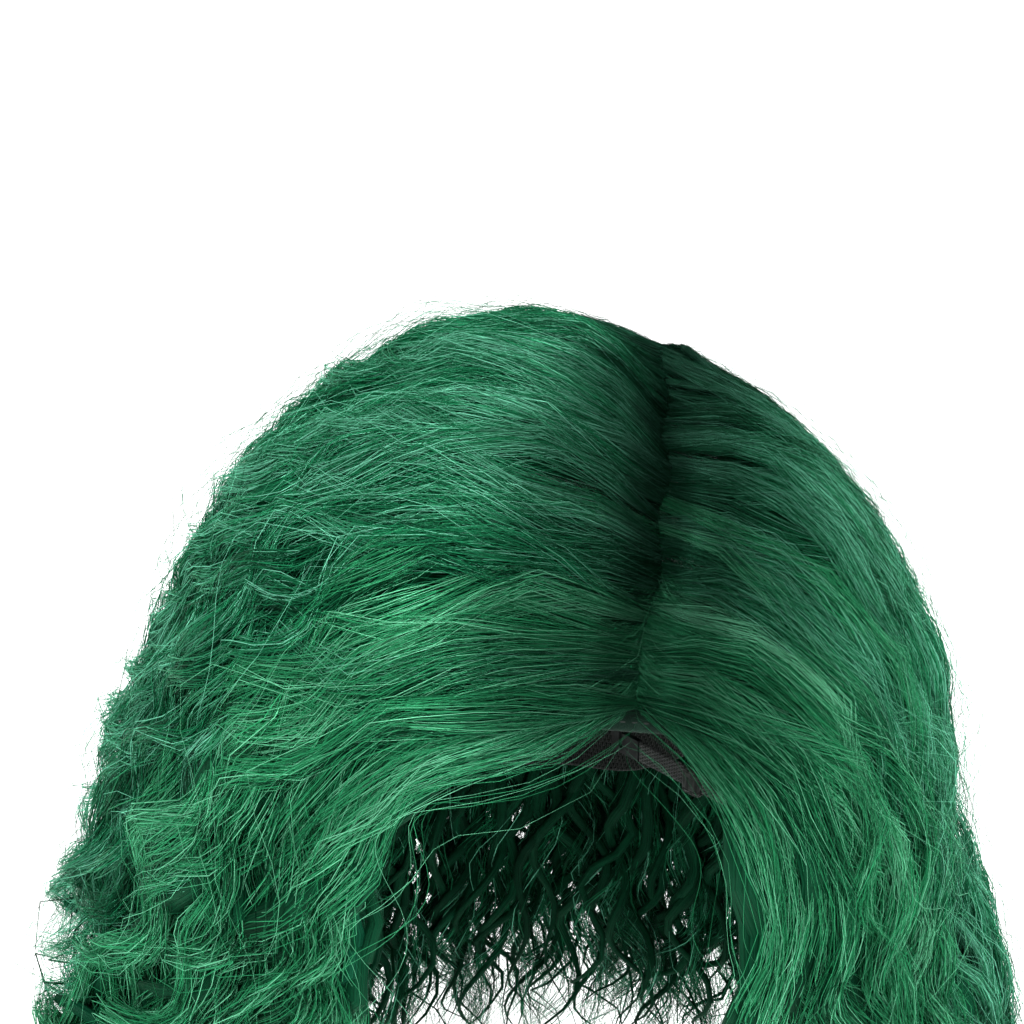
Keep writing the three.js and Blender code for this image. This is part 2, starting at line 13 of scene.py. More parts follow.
import bpy
import numpy as np
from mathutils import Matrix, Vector


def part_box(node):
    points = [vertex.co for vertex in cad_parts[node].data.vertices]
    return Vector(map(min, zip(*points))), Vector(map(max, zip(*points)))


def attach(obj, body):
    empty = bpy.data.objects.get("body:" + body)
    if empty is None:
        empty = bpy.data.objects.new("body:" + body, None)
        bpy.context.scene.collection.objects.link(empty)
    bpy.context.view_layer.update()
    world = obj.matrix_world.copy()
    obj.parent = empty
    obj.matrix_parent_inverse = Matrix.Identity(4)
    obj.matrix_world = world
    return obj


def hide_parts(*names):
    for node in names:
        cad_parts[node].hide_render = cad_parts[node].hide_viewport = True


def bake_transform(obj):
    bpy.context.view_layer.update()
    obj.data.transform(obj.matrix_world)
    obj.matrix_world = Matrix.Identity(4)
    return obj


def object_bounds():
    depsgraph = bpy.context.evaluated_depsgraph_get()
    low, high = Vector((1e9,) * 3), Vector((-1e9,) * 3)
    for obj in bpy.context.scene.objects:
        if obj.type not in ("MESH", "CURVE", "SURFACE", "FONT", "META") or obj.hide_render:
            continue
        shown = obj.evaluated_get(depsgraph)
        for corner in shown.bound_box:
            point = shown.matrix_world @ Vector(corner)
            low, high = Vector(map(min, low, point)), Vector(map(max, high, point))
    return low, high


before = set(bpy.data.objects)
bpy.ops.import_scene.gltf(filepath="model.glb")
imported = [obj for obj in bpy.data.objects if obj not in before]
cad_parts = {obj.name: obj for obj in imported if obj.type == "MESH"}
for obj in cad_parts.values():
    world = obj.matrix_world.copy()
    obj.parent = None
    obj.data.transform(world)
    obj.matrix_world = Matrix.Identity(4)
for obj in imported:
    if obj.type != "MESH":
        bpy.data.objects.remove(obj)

CAD_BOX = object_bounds()
LOG = logging.getLogger("wig")
CAP = "cap"
PALETTE_MAP = "OFBake"
CLOTH_MAP = "cloth"
TONES = 32
Array = np.ndarray
Chance = np.random.Generator
Relief = Callable[[Array, Array], Array]
Socket = bpy.types.NodeSocket


# --- named choices


class Hand(Enum):
    """The wearer's two sides."""

    LEFT = 1
    RIGHT = -1

    @property
    def word(self) -> str:
        """The side's name as the frame spells it."""
        return self.name.lower()


class Zone(Enum):
    """Where a lock of hair comes to hang."""

    FACE_RIGHT = "face_right"
    SIDE_RIGHT = "side_right"
    BACK_RIGHT = "back_right"
    BACK_CENTRE = "back_centre"
    BACK_LEFT = "back_left"
    SIDE_LEFT = "side_left"
    FACE_LEFT = "face_left"

    @property
    def body(self) -> str:
        """The name of the body for the zone's loose lengths."""
        if "BACK" in self.name:
            return "back_lengths"
        return "side_lengths_left" if "LEFT" in self.name else "side_lengths_right"


class Depth(Enum):
    """How deep in the hair a lock lies, with the rings that each of its fibres is drawn with."""

    OUTER = 34
    INNER = 20

    @property
    def triangles(self) -> int:
        """How many triangles one three-sided fibre takes."""
        return 6 * (self.value - 1) + 2


ZONE_NODES = {
    Zone.FACE_RIGHT: ("fringe_sweep", "face_frame_right", "face_length_right"),
    Zone.SIDE_RIGHT: ("top_right", "side_right", "side_length_right"),
    Zone.BACK_RIGHT: ("crown_back_right", "back_right", "back_length_right"),
    Zone.BACK_CENTRE: ("back_length_centre",),
    Zone.BACK_LEFT: ("crown_back_left", "back_left", "back_length_left"),
    Zone.SIDE_LEFT: ("top_left", "side_left", "side_length_left"),
    Zone.FACE_LEFT: ("temple_left", "face_frame_left", "face_length_left"),
}


# --- node trees


@dataclass
class Tree:
    """A node tree, with short ways to add and join nodes."""

    tree: bpy.types.NodeTree

    def node(self, kind: str, **settings: object) -> bpy.types.Node:
        """Adds a node with its settings."""
        made = self.tree.nodes.new(kind)
        for name, value in settings.items():
            setattr(made, name, value)
        return made

    def feed(self, socket: Socket, value: object) -> None:
        """Links an output to a socket, or sets the socket's own value."""
        if isinstance(value, Socket):
            self.tree.links.new(value, socket)
        else:
            socket.default_value = value

    def math(self, operation: str, *values: object) -> Socket:
        """A sum, product or other function of its values."""
        made = self.node("ShaderNodeMath", operation=operation)
        for socket, value in zip(made.inputs, values):
            self.feed(socket, value)
        return made.outputs[0]

    def mix(self, share: object, first: object, second: object, blend: str = "MIX") -> Socket:
        """A mix of two colours."""
        made = self.node("ShaderNodeMix", data_type="RGBA", blend_type=blend)
        for number, value in ((0, share), (6, first), (7, second)):
            self.feed(made.inputs[number], value)
        return made.outputs[2]

    def span(self, value: object, low: float, high: float, to_low: object, to_high: object) -> Socket:
        """A smooth step from one value to another as the input runs from low to high."""
        made = self.node("ShaderNodeMapRange", interpolation_type="SMOOTHSTEP")
        for socket, given in zip(made.inputs, (value, low, high, to_low, to_high)):
            self.feed(socket, given)
        return made.outputs[0]

    def noise(self, vector: object, scale: object, detail: float = 2.0) -> Socket:
        """Soft noise over a vector.

        Args:
            vector: where to read it.
            scale: its fineness.
            detail: its octaves.

        Returns:
            The noise, 0 to 1.
        """
        made = self.node("ShaderNodeTexNoise")
        self.feed(made.inputs["Vector"], vector)
        self.feed(made.inputs["Scale"], scale)
        made.inputs["Detail"].default_value = detail
        return made.outputs["Fac"]

    def scaled(self, x: object, y: object, z: object = 0.0) -> Socket:
        """A vector of three values."""
        made = self.node("ShaderNodeCombineXYZ")
        for socket, value in zip(made.inputs, (x, y, z)):
            self.feed(socket, value)
        return made.outputs[0]

    def split(self, vector: object) -> tuple:
        """The first two values of a vector."""
        made = self.node("ShaderNodeSeparateXYZ")
        self.feed(made.inputs[0], vector)
        return made.outputs[0], made.outputs[1]

    def map(self, name: str) -> Socket:
        """A named map's coordinates."""
        return self.node("ShaderNodeUVMap", uv_map=name).outputs[0]

    def place(self) -> Socket:
        """The piece's own coordinates."""
        return self.node("ShaderNodeTexCoord").outputs["Object"]

    def group(self, name: str, **values: object) -> bpy.types.Node:
        """Places a shared group, with its inputs given by name."""
        made = self.node("ShaderNodeGroup", node_tree=shared_group(name))
        for label, value in values.items():
            self.feed(made.inputs[label.replace("_", " ").title()], value)
        return made

    def bump(self, height: object, distance: float, strength: float = 1.0) -> Socket:
        """A normal from a height.

        Args:
            height: the height.
            distance: how deep it is, in metres.
            strength: how much of it shows.

        Returns:
            The normal.
        """
        made = self.node("ShaderNodeBump")
        made.inputs["Strength"].default_value = strength
        made.inputs["Distance"].default_value = distance
        self.feed(made.inputs["Height"], height)
        return made.outputs[0]


def start_group(name: str, inputs: dict, outputs: dict) -> tuple[Tree, dict, bpy.types.Node]:
    """Begins a node group with named sockets.

    Args:
        name: the group's name.
        inputs: the kind and first value of each input, by label.
        outputs: the kind of each output, by label.

    Returns:
        Its tree, its inputs' sockets by label and its output node.
    """
    group = bpy.data.node_groups.new(name, "ShaderNodeTree")
    for label, (kind, value) in inputs.items():
        socket = group.interface.new_socket(label, in_out="INPUT", socket_type=f"NodeSocket{kind}")
        if value is not None:
            socket.default_value = value
    for label, kind in outputs.items():
        group.interface.new_socket(label, in_out="OUTPUT", socket_type=f"NodeSocket{kind}")
    tree = Tree(group)
    entry = tree.node("NodeGroupInput")
    return tree, {label: entry.outputs[label] for label in inputs}, tree.node("NodeGroupOutput")


def fibre_tone_group() -> None:
    """Colour of dyed fibre: a tone across the palette map, fine streaks, and painted shade darkening the
    roots.
    """
    inputs = {
        "Vector": ("Vector", None),
        "Dark": ("Color", (0, 0, 0, 1)),
        "Middle": ("Color", (0, 0.2, 0, 1)),
        "Light": ("Color", (0, 0.5, 0, 1)),
        "Streaks": ("Float", 60.0),
        "Root Shade": ("Float", 0.3),
    }
    tree, given, out = start_group("fibre_tone", inputs, {"Color": "Color", "Streak": "Float"})
    tone, along = tree.split(given["Vector"])
    color = tree.mix(tree.span(tone, 0.0, 0.5, 0.0, 1.0), given["Dark"], given["Middle"])
    color = tree.mix(tree.span(tone, 0.5, 1.0, 0.0, 1.0), color, given["Light"])
    across = tree.math("MULTIPLY", tone, given["Streaks"])
    streak = tree.noise(tree.scaled(across, tree.math("MULTIPLY", along, 7.0)), 1.0, 3.0)
    streaked = tree.span(streak, 0.3, 0.7, 0.62, 1.3)
    # painted shade: fibres are darkened over the first part of their length, towards the roots
    rooted = tree.span(along, 0.0, 0.13, given["Root Shade"], 1.0)
    shade = tree.math("MULTIPLY", streaked, rooted)
    tree.feed(out.inputs["Color"], tree.mix(1.0, color, tree.scaled(shade, shade, shade), "MULTIPLY"))
    tree.feed(out.inputs["Streak"], streak)


def weave_group() -> None:
    """Over-and-under weave of two threads, as a height and a mask of which thread is on top."""
    inputs = {"Vector": ("Vector", None), "Warp": ("Float", 1000.0), "Weft": ("Float", 1000.0)}
    tree, given, out = start_group("weave", inputs, {"Height": "Float", "Top": "Float"})
    u, v = tree.split(given["Vector"])
    x, y = tree.math("MULTIPLY", u, given["Warp"]), tree.math("MULTIPLY", v, given["Weft"])
    both = tree.math("ADD", tree.math("FLOOR", x), tree.math("FLOOR", y))
    top = tree.math("PINGPONG", both, 1.0)
    waves = [tree.math("SINE", tree.math("MULTIPLY", part, math.pi)) for part in (x, y)]
    rounds = [tree.math("ABSOLUTE", wave) for wave in waves]
    over = tree.math("MULTIPLY", rounds[0], top)
    under = tree.math("MULTIPLY", rounds[1], tree.math("SUBTRACT", 1.0, top))
    tree.feed(out.inputs["Height"], tree.math("ADD", over, under))
    tree.feed(out.inputs["Top"], top)


def grain_group() -> None:
    """Uneven grain at two sizes, as a height and a softer mask."""
    inputs = {"Vector": ("Vector", None), "Scale": ("Float", 400.0)}
    tree, given, out = start_group("grain", inputs, {"Height": "Float", "Mask": "Float"})
    tree.feed(out.inputs["Height"], tree.noise(given["Vector"], given["Scale"], 4.0))
    coarse = tree.noise(given["Vector"], tree.math("MULTIPLY", given["Scale"], 0.11), 2.0)
    tree.feed(out.inputs["Mask"], tree.span(coarse, 0.35, 0.65, 0.0, 1.0))


GROUPS = {"fibre_tone": fibre_tone_group, "weave": weave_group, "grain": grain_group}


def shared_group(name: str) -> bpy.types.NodeTree:
    """A shared node group, made the first time that a material asks for it."""
    if name not in bpy.data.node_groups:
        GROUPS[name]()
    return bpy.data.node_groups[name]


# --- finishes


Color = tuple[float, float, float]


def start_material(
    name: str, roughness: float, specular: float, tint: Color = (1, 1, 1)
) -> tuple[bpy.types.Material, Tree, bpy.types.Node]:
    """Begins a material.

    Args:
        name: its name.
        roughness: how dull it is.
        specular: how strongly it reflects.
        tint: the colour of its reflection.

    Returns:
        The material, its tree and its shader.
    """
    material = bpy.data.materials.new(name)
    material.use_nodes = True
    shader = material.node_tree.nodes["Principled BSDF"]
    shader.inputs["Roughness"].default_value = roughness
    shader.inputs["Specular IOR Level"].default_value = specular
    shader.inputs["Specular Tint"].default_value = (*tint, 1)
    return material, Tree(material.node_tree), shader


@dataclass(frozen=True)
class FibreFinish:
    """Glossy dyed synthetic fibre, with its tone in the palette map."""

    name: str
    dark: Color = (0.001, 0.022, 0.009)
    middle: Color = (0.010, 0.155, 0.062)
    # lightest palette colour, which the painted-highlight fibres take
    light: Color = (0.150, 0.50, 0.33)
    streaks: float = 0.0
    # painted shade: how dark a fibre is made at its root
    root_shade: float = 0.10
    roughness: float = 0.34
    specular: float = 0.16
    sheen: float = 0.45
    tint: Color = (0.25, 1.0, 0.65)
    relief: float = 0.0

    def material(self) -> bpy.types.Material:
        """The finish as a material.

        Returns:
            The material.
        """
        made, tree, shader = start_material(self.name, self.roughness, self.specular, self.tint)
        tone = tree.group(
            "fibre_tone",
            vector=tree.map(PALETTE_MAP),
            dark=(*self.dark, 1),
            middle=(*self.middle, 1),
            light=(*self.light, 1),
            streaks=self.streaks,
            root_shade=self.root_shade,
        )
        tree.feed(shader.inputs["Base Color"], tone.outputs["Color"])
        shader.inputs["Metallic"].default_value = self.sheen
        if self.relief:
            tree.feed(shader.inputs["Normal"], tree.bump(tone.outputs["Streak"], self.relief))
        return made


@dataclass(frozen=True)
class WovenFinish:
    """Woven or knitted elastic, with warp and weft threads."""

    name: str
    warp: Color
    weft: Color
    pitch: float = 0.0009
    roughness: float = 0.82

    def material(self) -> bpy.types.Material:
        """The finish as a material.

        Returns:
            The material.
        """
        made, tree, shader = start_material(self.name, self.roughness, 0.25)
        shader.inputs["Sheen Weight"].default_value = 0.25
        weave = tree.group("weave", vector=tree.map(CLOTH_MAP), warp=1 / self.pitch, weft=0.7 / self.pitch)
        grain = tree.group("grain", vector=tree.place(), scale=900.0)
        color = tree.mix(weave.outputs["Top"], (*self.warp, 1), (*self.weft, 1))
        worn = tree.span(grain.outputs["Mask"], 0.0, 1.0, 0.75, 1.15)
        color = tree.mix(1.0, color, tree.scaled(worn, worn, worn), "MULTIPLY")
        tree.feed(shader.inputs["Base Color"], color)
        tree.feed(shader.inputs["Normal"], tree.bump(weave.outputs["Height"], 0.00025))
        return made


@dataclass(frozen=True)
class PileFinish:
    """Short velvet pile."""

    name: str
    base: Color
    tips: Color
    roughness: float = 0.95

    def material(self) -> bpy.types.Material:
        """The finish as a material.

        Returns:
            The material.
        """
        made, tree, shader = start_material(self.name, self.roughness, 0.1)
        shader.inputs["Sheen Weight"].default_value = 0.15
        shader.inputs["Sheen Roughness"].default_value = 0.45
        grain = tree.group("grain", vector=tree.place(), scale=2600.0)
        coarse = tree.math("MULTIPLY", grain.outputs["Mask"], 0.5)
        brushed = tree.math("ADD", coarse, tree.span(grain.outputs["Height"], 0.35, 0.7, 0.0, 0.5))
        tree.feed(shader.inputs["Base Color"], tree.mix(brushed, (*self.base, 1), (*self.tips, 1)))
        tree.feed(shader.inputs["Normal"], tree.bump(grain.outputs["Height"], 0.0003))
        return made


@dataclass(frozen=True)
class FilmFinish:
    """Skin-look film on cloth, with pores and a faint blush."""

    name: str
    base: Color
    blush: Color
    roughness: float = 0.6

    def material(self) -> bpy.types.Material:
        """The finish as a material.

        Returns:
            The material.
        """
        made, tree, shader = start_material(self.name, self.roughness, 0.35)
        grain = tree.group("grain", vector=tree.place(), scale=1500.0)
        weave = tree.group("weave", vector=tree.map(CLOTH_MAP), warp=1600.0, weft=1600.0)
        color = tree.mix(grain.outputs["Mask"], (*self.base, 1), (*self.blush, 1))
        tree.feed(shader.inputs["Base Color"], color)
        both = tree.math("ADD", grain.outputs["Height"], tree.math("MULTIPLY", weave.outputs["Height"], 0.3))
        tree.feed(shader.inputs["Normal"], tree.bump(both, 0.0002))
        return made


@dataclass(frozen=True)
class HardFinish:
    """Moulded plastic or brushed metal, with fine scuffs."""

    name: str
    base: Color
    scuffed: Color
    roughness: float
    metallic: float = 0.0
    stretch: tuple[float, float, float] = (1.0, 1.0, 1.0)

    def material(self) -> bpy.types.Material:
        """The finish as a material.

        Returns:
            The material.
        """
        made, tree, shader = start_material(self.name, self.roughness, 0.5)
        shader.inputs["Metallic"].default_value = self.metallic
        spread = tree.node("ShaderNodeVectorMath", operation="MULTIPLY")
        tree.feed(spread.inputs[0], tree.place())
        spread.inputs[1].default_value = self.stretch
        grain = tree.group("grain", vector=spread.outputs[0], scale=1800.0)
        color = tree.mix(grain.outputs["Mask"], (*self.base, 1), (*self.scuffed, 1))
        tree.feed(shader.inputs["Base Color"], color)
        rough = tree.span(grain.outputs["Height"], 0.3, 0.7, self.roughness * 0.8, self.roughness * 1.25)
        tree.feed(shader.inputs["Roughness"], rough)
        tree.feed(shader.inputs["Normal"], tree.bump(grain.outputs["Height"], 0.00005))
        return made


@dataclass
class Wardrobe:
    """Every finish of the wig, made once."""

    fibre: FibreFinish = FibreFinish("hair_fibre")
    # a lighter copy of the fibre colours for the hair round the face: painted light for the brighter-lit
    # fringe
    hairline: FibreFinish = FibreFinish(
        "hairline_fibre", middle=(0.022, 0.24, 0.095), light=(0.150, 0.52, 0.30), root_shade=0.22
    )
    # the lock cores are coloured far darker than the fibres: painted shade for the depth inside each lock
    lock: FibreFinish = FibreFinish(
        "hair_lock",
        dark=(0.001, 0.018, 0.007),
        middle=(0.002, 0.040, 0.016),
        light=(0.006, 0.09, 0.045),
        streaks=1200.0,
        roughness=0.5,
        specular=0.1,
        sheen=0.2,
        relief=0.0008,
    )
    band: WovenFinish = WovenFinish("band_elastic", (0.007, 0.012, 0.009), (0.018, 0.026, 0.021))
    ribbon: WovenFinish = WovenFinish("ribbon_elastic", (0.016, 0.020, 0.018), (0.045, 0.055, 0.050), 0.0007)
    net: WovenFinish = WovenFinish("net_thread", (0.012, 0.015, 0.013), (0.035, 0.040, 0.037), 0.0004)
    track: WovenFinish = WovenFinish("weft_track", (0.003, 0.045, 0.018), (0.008, 0.10, 0.040), 0.0006)
    velvet: PileFinish = PileFinish("hairline_velvet", (0.003, 0.013, 0.008), (0.009, 0.030, 0.019))
    thread: WovenFinish = WovenFinish("sewing_thread", (0.025, 0.032, 0.028), (0.06, 0.07, 0.065), 0.0003)
    # a green parting base, its colours made darker as painted shade for the parting's crease
    film: FilmFinish = FilmFinish("parting_film", (0.010, 0.042, 0.022), (0.020, 0.066, 0.038))
    plastic: HardFinish = HardFinish("hook_plastic", (0.010, 0.010, 0.011), (0.022, 0.022, 0.024), 0.38)
    steel: HardFinish = HardFinish(
        "stay_steel", (0.50, 0.52, 0.54), (0.38, 0.39, 0.41), 0.34, metallic=1.0, stretch=(3.0, 3.0, 0.2)
    )
    made: dict = field(default_factory=dict)

    def dress(self, piece: bpy.types.Object, finish: str) -> bpy.types.Object:
        """Gives a piece a finish by name, as its only material.

        Args:
            piece: the piece.
            finish: its finish in the wardrobe.

        Returns:
            The piece.
        """
        if finish not in self.made:
            self.made[finish] = getattr(self, finish).material()
        if piece.data.materials:
            for slot in piece.material_slots:
                slot.material = self.made[finish]
        else:
            piece.data.materials.append(self.made[finish])
        return piece


# --- mesh helpers


def smooth(share: Array) -> Array:
    """An ease from 0 to 1 for shares from 0 to 1."""
    s = np.clip(share, 0.0, 1.0)
    return s * s * (3 - 2 * s)


def unit(vectors: Array) -> Array:
    """Vectors along the last axis, made one long."""
    return vectors / np.maximum(np.linalg.norm(vectors, axis=-1, keepdims=True), 1e-12)


def across_of(vectors: Array, away: Array) -> Array:
    """The part of each vector that is square to another."""
    return unit(vectors - away * np.sum(vectors * away, -1, keepdims=True))


def resampled(lines: Array, at: Array) -> Array:
    """Lines read again at other places along them.

    Args:
        lines: (lines, points, 3) places.
        at: (lines, points) where to read each, counted in its points.

    Returns:
        (lines, points, 3) places.
    """
    low = np.minimum(np.floor(at).astype(int), lines.shape[1] - 2)
    rest = (at - low)[..., None]
    rows = np.arange(len(lines))[:, None]
    return lines[rows, low] * (1 - rest) + lines[rows, low + 1] * rest


def inside_out(points: Array, quads: Array, middle: Array | float = 0.0) -> bool:
    """Whether a closed mesh's faces look inwards, by the sign of its volume."""
    corner = points[quads] - middle
    volume = np.einsum("ij,ij->i", corner[:, 0], np.cross(corner[:, 1], corner[:, 2])).sum()
    volume += np.einsum("ij,ij->i", corner[:, 0], np.cross(corner[:, 2], corner[:, 3])).sum()
    return volume < 0


@dataclass
class Shape:
    """Arrays of a mesh: points, quads, triangles, and map coordinates of their corners."""

    points: Array
    quads: Array
    triangles: Array
    uv: Array

    @property
    def count(self) -> int:
        """How many triangles it makes."""
        return 2 * len(self.quads) + len(self.triangles)

    def object(self, name: str, map_name: str = PALETTE_MAP) -> bpy.types.Object:
        """The shape as an object, smooth shaded.

        Args:
            name: the piece's name.
            map_name: the name of its map.

        Returns:
            The object, in the scene.
        """
        mesh = bpy.data.meshes.new(name)
        corners = np.concatenate([self.quads.ravel(), self.triangles.ravel()]).astype(np.int32)
        sizes = np.concatenate([np.full(len(self.quads), 4), np.full(len(self.triangles), 3)])
        starts = np.concatenate([[0], np.cumsum(sizes)[:-1]]).astype(np.int32)
        mesh.vertices.add(len(self.points))
        mesh.vertices.foreach_set("co", np.asarray(self.points, np.float32).ravel())
        mesh.loops.add(len(corners))
        mesh.loops.foreach_set("vertex_index", corners)
        mesh.polygons.add(len(sizes))
        mesh.polygons.foreach_set("loop_start", starts)
        mesh.polygons.foreach_set("use_smooth", np.ones(len(sizes), bool))
        layer = mesh.uv_layers.new(name=map_name)
        layer.data.foreach_set("uv", self.uv.astype(np.float32).ravel())
        mesh.update(calc_edges=True)
        mesh.validate()
        made = bpy.data.objects.new(name, mesh)
        bpy.context.scene.collection.objects.link(made)
        return made

    @staticmethod
    def join(shapes: list["Shape"]) -> "Shape":
        """Several shapes as one.

        Args:
            shapes: the shapes.

        Returns:
            The joined shape.
        """
        starts = np.cumsum([0] + [len(s.points) for s in shapes])
        quad_uv = [s.uv[: 4 * len(s.quads)] for s in shapes]
        triangle_uv = [s.uv[4 * len(s.quads) :] for s in shapes]
        return Shape(
            np.concatenate([s.points for s in shapes]),
            np.concatenate([s.quads + start for s, start in zip(shapes, starts)]),
            np.concatenate([s.triangles + start for s, start in zip(shapes, starts)]),
            np.concatenate(quad_uv + triangle_uv),
        )


@dataclass
class Tubes:
    """Closed tubes along many lines at once, all with the same rings and sides."""

    sides: int = 3

    def shape(
        self,
        path: Array,
        wide: Array,
        tone: Array,
        deep: Array | None = None,
        out: Array | None = None,
    ) -> Shape:
        """Sweeps an oval along each line.

        Args:
            path: (lines, rings, 3) centre lines.
            wide: (lines, rings) half width of each ring.
            tone: (lines,) tone of each line in the palette, 0 to 1.
            deep: half depth of each ring, the same as wide if it isn't given.
            out: (lines, rings, 3) direction of the depth.

        Returns:
            The tubes.
        """
        lines, rings, _ = path.shape
        sides = self.sides
        tangent = unit(np.gradient(path, axis=1))
        if out is None:
            out = np.broadcast_to(np.array([0.31, 0.22, 0.92]), path.shape)
        across = unit(np.cross(tangent, out))
        outward = np.cross(across, tangent)
        deep = wide if deep is None else deep
        turn = 2 * math.pi * np.arange(sides) / sides
        points = path[:, :, None, :] + across[:, :, None, :] * (wide[..., None] * np.cos(turn))[..., None]
        points = points + outward[:, :, None, :] * (deep[..., None] * np.sin(turn))[..., None]
        number = np.arange(lines * rings * sides).reshape(lines, rings, sides)
        after = np.roll(number, -1, axis=2)
        quads = np.stack([number[:, :-1], after[:, :-1], after[:, 1:], number[:, 1:]], -1).reshape(-1, 4)
        bins = np.floor(np.clip(tone, 0, 0.999) * TONES)
        start = (bins[:, None] + np.arange(sides)[None, :] / sides) / TONES
        along = np.linspace(0.002, 0.998, rings)
        u0 = np.broadcast_to(start[:, None, :], (lines, rings - 1, sides))
        u1 = u0 + 1 / (sides * TONES)
        v0 = np.broadcast_to(along[None, :-1, None], u0.shape)
        v1 = np.broadcast_to(along[None, 1:, None], u0.shape)
        quad_uv = np.stack([np.stack(corner, -1) for corner in ((u0, v0), (u1, v0), (u1, v1), (u0, v1))], 3)
        fans, fan_uv = [], []
        for ring, order in ((0, (0, 2, 1)), (rings - 1, (0, 1, 2))):
            for k in range(1, sides - 1):
                fan = number[:, ring, [0, k, k + 1]]
                fans.append(fan[:, order])
                middle = np.stack([(bins + 0.5) / TONES, np.full(lines, along[ring])], -1)
                fan_uv.append(np.repeat(middle, 3, axis=0))
        uv = np.concatenate([quad_uv.reshape(-1, 2), *fan_uv])
        return Shape(points.reshape(-1, 3), quads, np.concatenate(fans), uv)


@dataclass
class Cloth:
    """A closed piece of cloth with rounded edges and relief on its outer face.

    at gives a point for shares across and down and a lift outwards; size is its width and height.
    """

    at: Callable[[Array, Array, Array], Array]
    thickness: float
    size: tuple[float, float]
    steps: tuple[int, int]
    relief: Relief | None = None
    edge: float = 0.0009

    def shares(self, length: float, steps: int) -> Array:
        """Shares along one side, close together at its two ends."""
        edge = min(self.edge / length, 0.2)
        ends = edge * np.array([0.0, 0.06, 0.3, 1.0])
        inner = np.linspace(edge, 1 - edge, steps + 1)[1:-1]
        return np.concatenate([ends, inner, 1 - ends[::-1]])

    def shape(self) -> Shape:
        """The cloth's mesh.

        Returns:
            The closed mesh.
        """
        u, v = self.shares(self.size[0], self.steps[0]), self.shares(self.size[1], self.steps[1])
        grid_u, grid_v = np.meshgrid(u, v, indexing="ij")
        from_u = np.minimum(grid_u, 1 - grid_u) * self.size[0]
        from_v = np.minimum(grid_v, 1 - grid_v) * self.size[1]
        near = np.clip(np.minimum(from_u, from_v) / self.edge, 0, 1)
        fat = np.sqrt(np.clip(1 - (1 - near) ** 2, 0, 1)) * 0.5 + 0.02
        proud = self.relief(grid_u, grid_v) * near if self.relief else 0 * near
        outer = self.at(grid_u, grid_v, self.thickness * (0.5 + fat) + proud)
        inner = self.at(grid_u, grid_v, self.thickness * (0.5 - fat))
        nu, nv = grid_u.shape
        number = np.arange(nu * nv).reshape(nu, nv)
        square = (number[:-1, :-1], number[:-1, 1:], number[1:, 1:], number[1:, :-1])
        cell = np.stack(square, -1).reshape(-1, 4)
        rim = np.concatenate([number[0, :-1], number[:-1, -1], number[-1, :0:-1], number[:0:-1, 0]])
        ahead = np.roll(rim, -1)
        wall = np.stack([ahead, rim, rim + nu * nv, ahead + nu * nv], -1)
        quads = np.concatenate([cell, cell[:, ::-1] + nu * nv, wall])
        points = np.concatenate([outer.reshape(-1, 3), inner.reshape(-1, 3)])
        uv = np.stack([grid_u * self.size[0], grid_v * self.size[1]], -1).reshape(-1, 2)
        corners = quads % (nu * nv)
        if inside_out(points, quads):
            quads, corners = quads[:, ::-1], corners[:, ::-1]
        return Shape(points, quads, np.zeros((0, 3), int), uv[corners.ravel()])


def hems(width: float, height: float, relief: float) -> Relief:
    """Relief of a folded hem along both long edges, with a sewn line at its inner side.

    Args:
        width: the hem's width.
        height: the cloth's width.
        relief: how proud the hem stands.

    Returns:
        The relief at shares across and down.
    """

    def raised(u: Array, v: Array) -> Array:
        """How proud the cloth stands at shares across and down."""
        away = np.minimum(v, 1 - v) * height
        fold = 1 - smooth((away - width) / 0.0006)
        seam = np.exp(-(((away - width * 0.7) / 0.0003) ** 2))
        return relief * (fold - 0.7 * seam)

    return raised


def ribs(count: int, relief: float) -> Relief:
    """Relief of ribs that run the long way.

    Args:
        count: how many ribs.
        relief: how proud they stand.

    Returns:
        The relief at shares across and down.
    """

    def raised(u: Array, v: Array) -> Array:
        """How proud the cloth stands at shares across and down."""
        return relief * (0.5 - 0.5 * np.cos(2 * math.pi * count * u))

    return raised


def stitches(line: Array, out: Array, pitch: float = 0.0032, radius: float = 0.00022) -> Shape:
    """A row of stitches along a line.

    Args:
        line: (n, 3) points to sew along, on the cloth's face.
        out: (n, 3) outward directions there.
        pitch: length of a stitch with its gap.
        radius: the thread's radius.

    Returns:
        The stitches, each a short closed arch of thread.
    """
    run = np.concatenate([[0], np.cumsum(np.linalg.norm(np.diff(line, axis=0), axis=1))])
    count = max(2, int(run[-1] / pitch))
    start = (np.arange(count) + 0.15)[:, None] * run[-1] / count
    at = start + np.linspace(0, 0.7, 5)[None, :] * run[-1] / count
    path = np.stack([np.interp(at, run, line[:, k]) for k in range(3)], -1)
    up = unit(np.stack([np.interp(at, run, out[:, k]) for k in range(3)], -1))
    arch = np.sin(np.linspace(0, math.pi, 5))
    path = path + up * (radius * (arch * 1.2 - 0.2))[None, :, None]
    size = np.broadcast_to(radius * (0.45 + 0.55 * arch), at.shape)
    return Tubes(4).shape(path, size, np.full(count, 0.5))


# --- head and hair forms


@dataclass
class HeadForm:
    """The head that the cap fits; hair is placed from the head's centre."""

    half_width: float = 0.077
    half_length: float = 0.098
    rise: float = 0.108

    def centre(self) -> Array:
        """The middle of the head at its widest level, in the frame."""
        return np.array([0.0, 0.0, -self.rise])


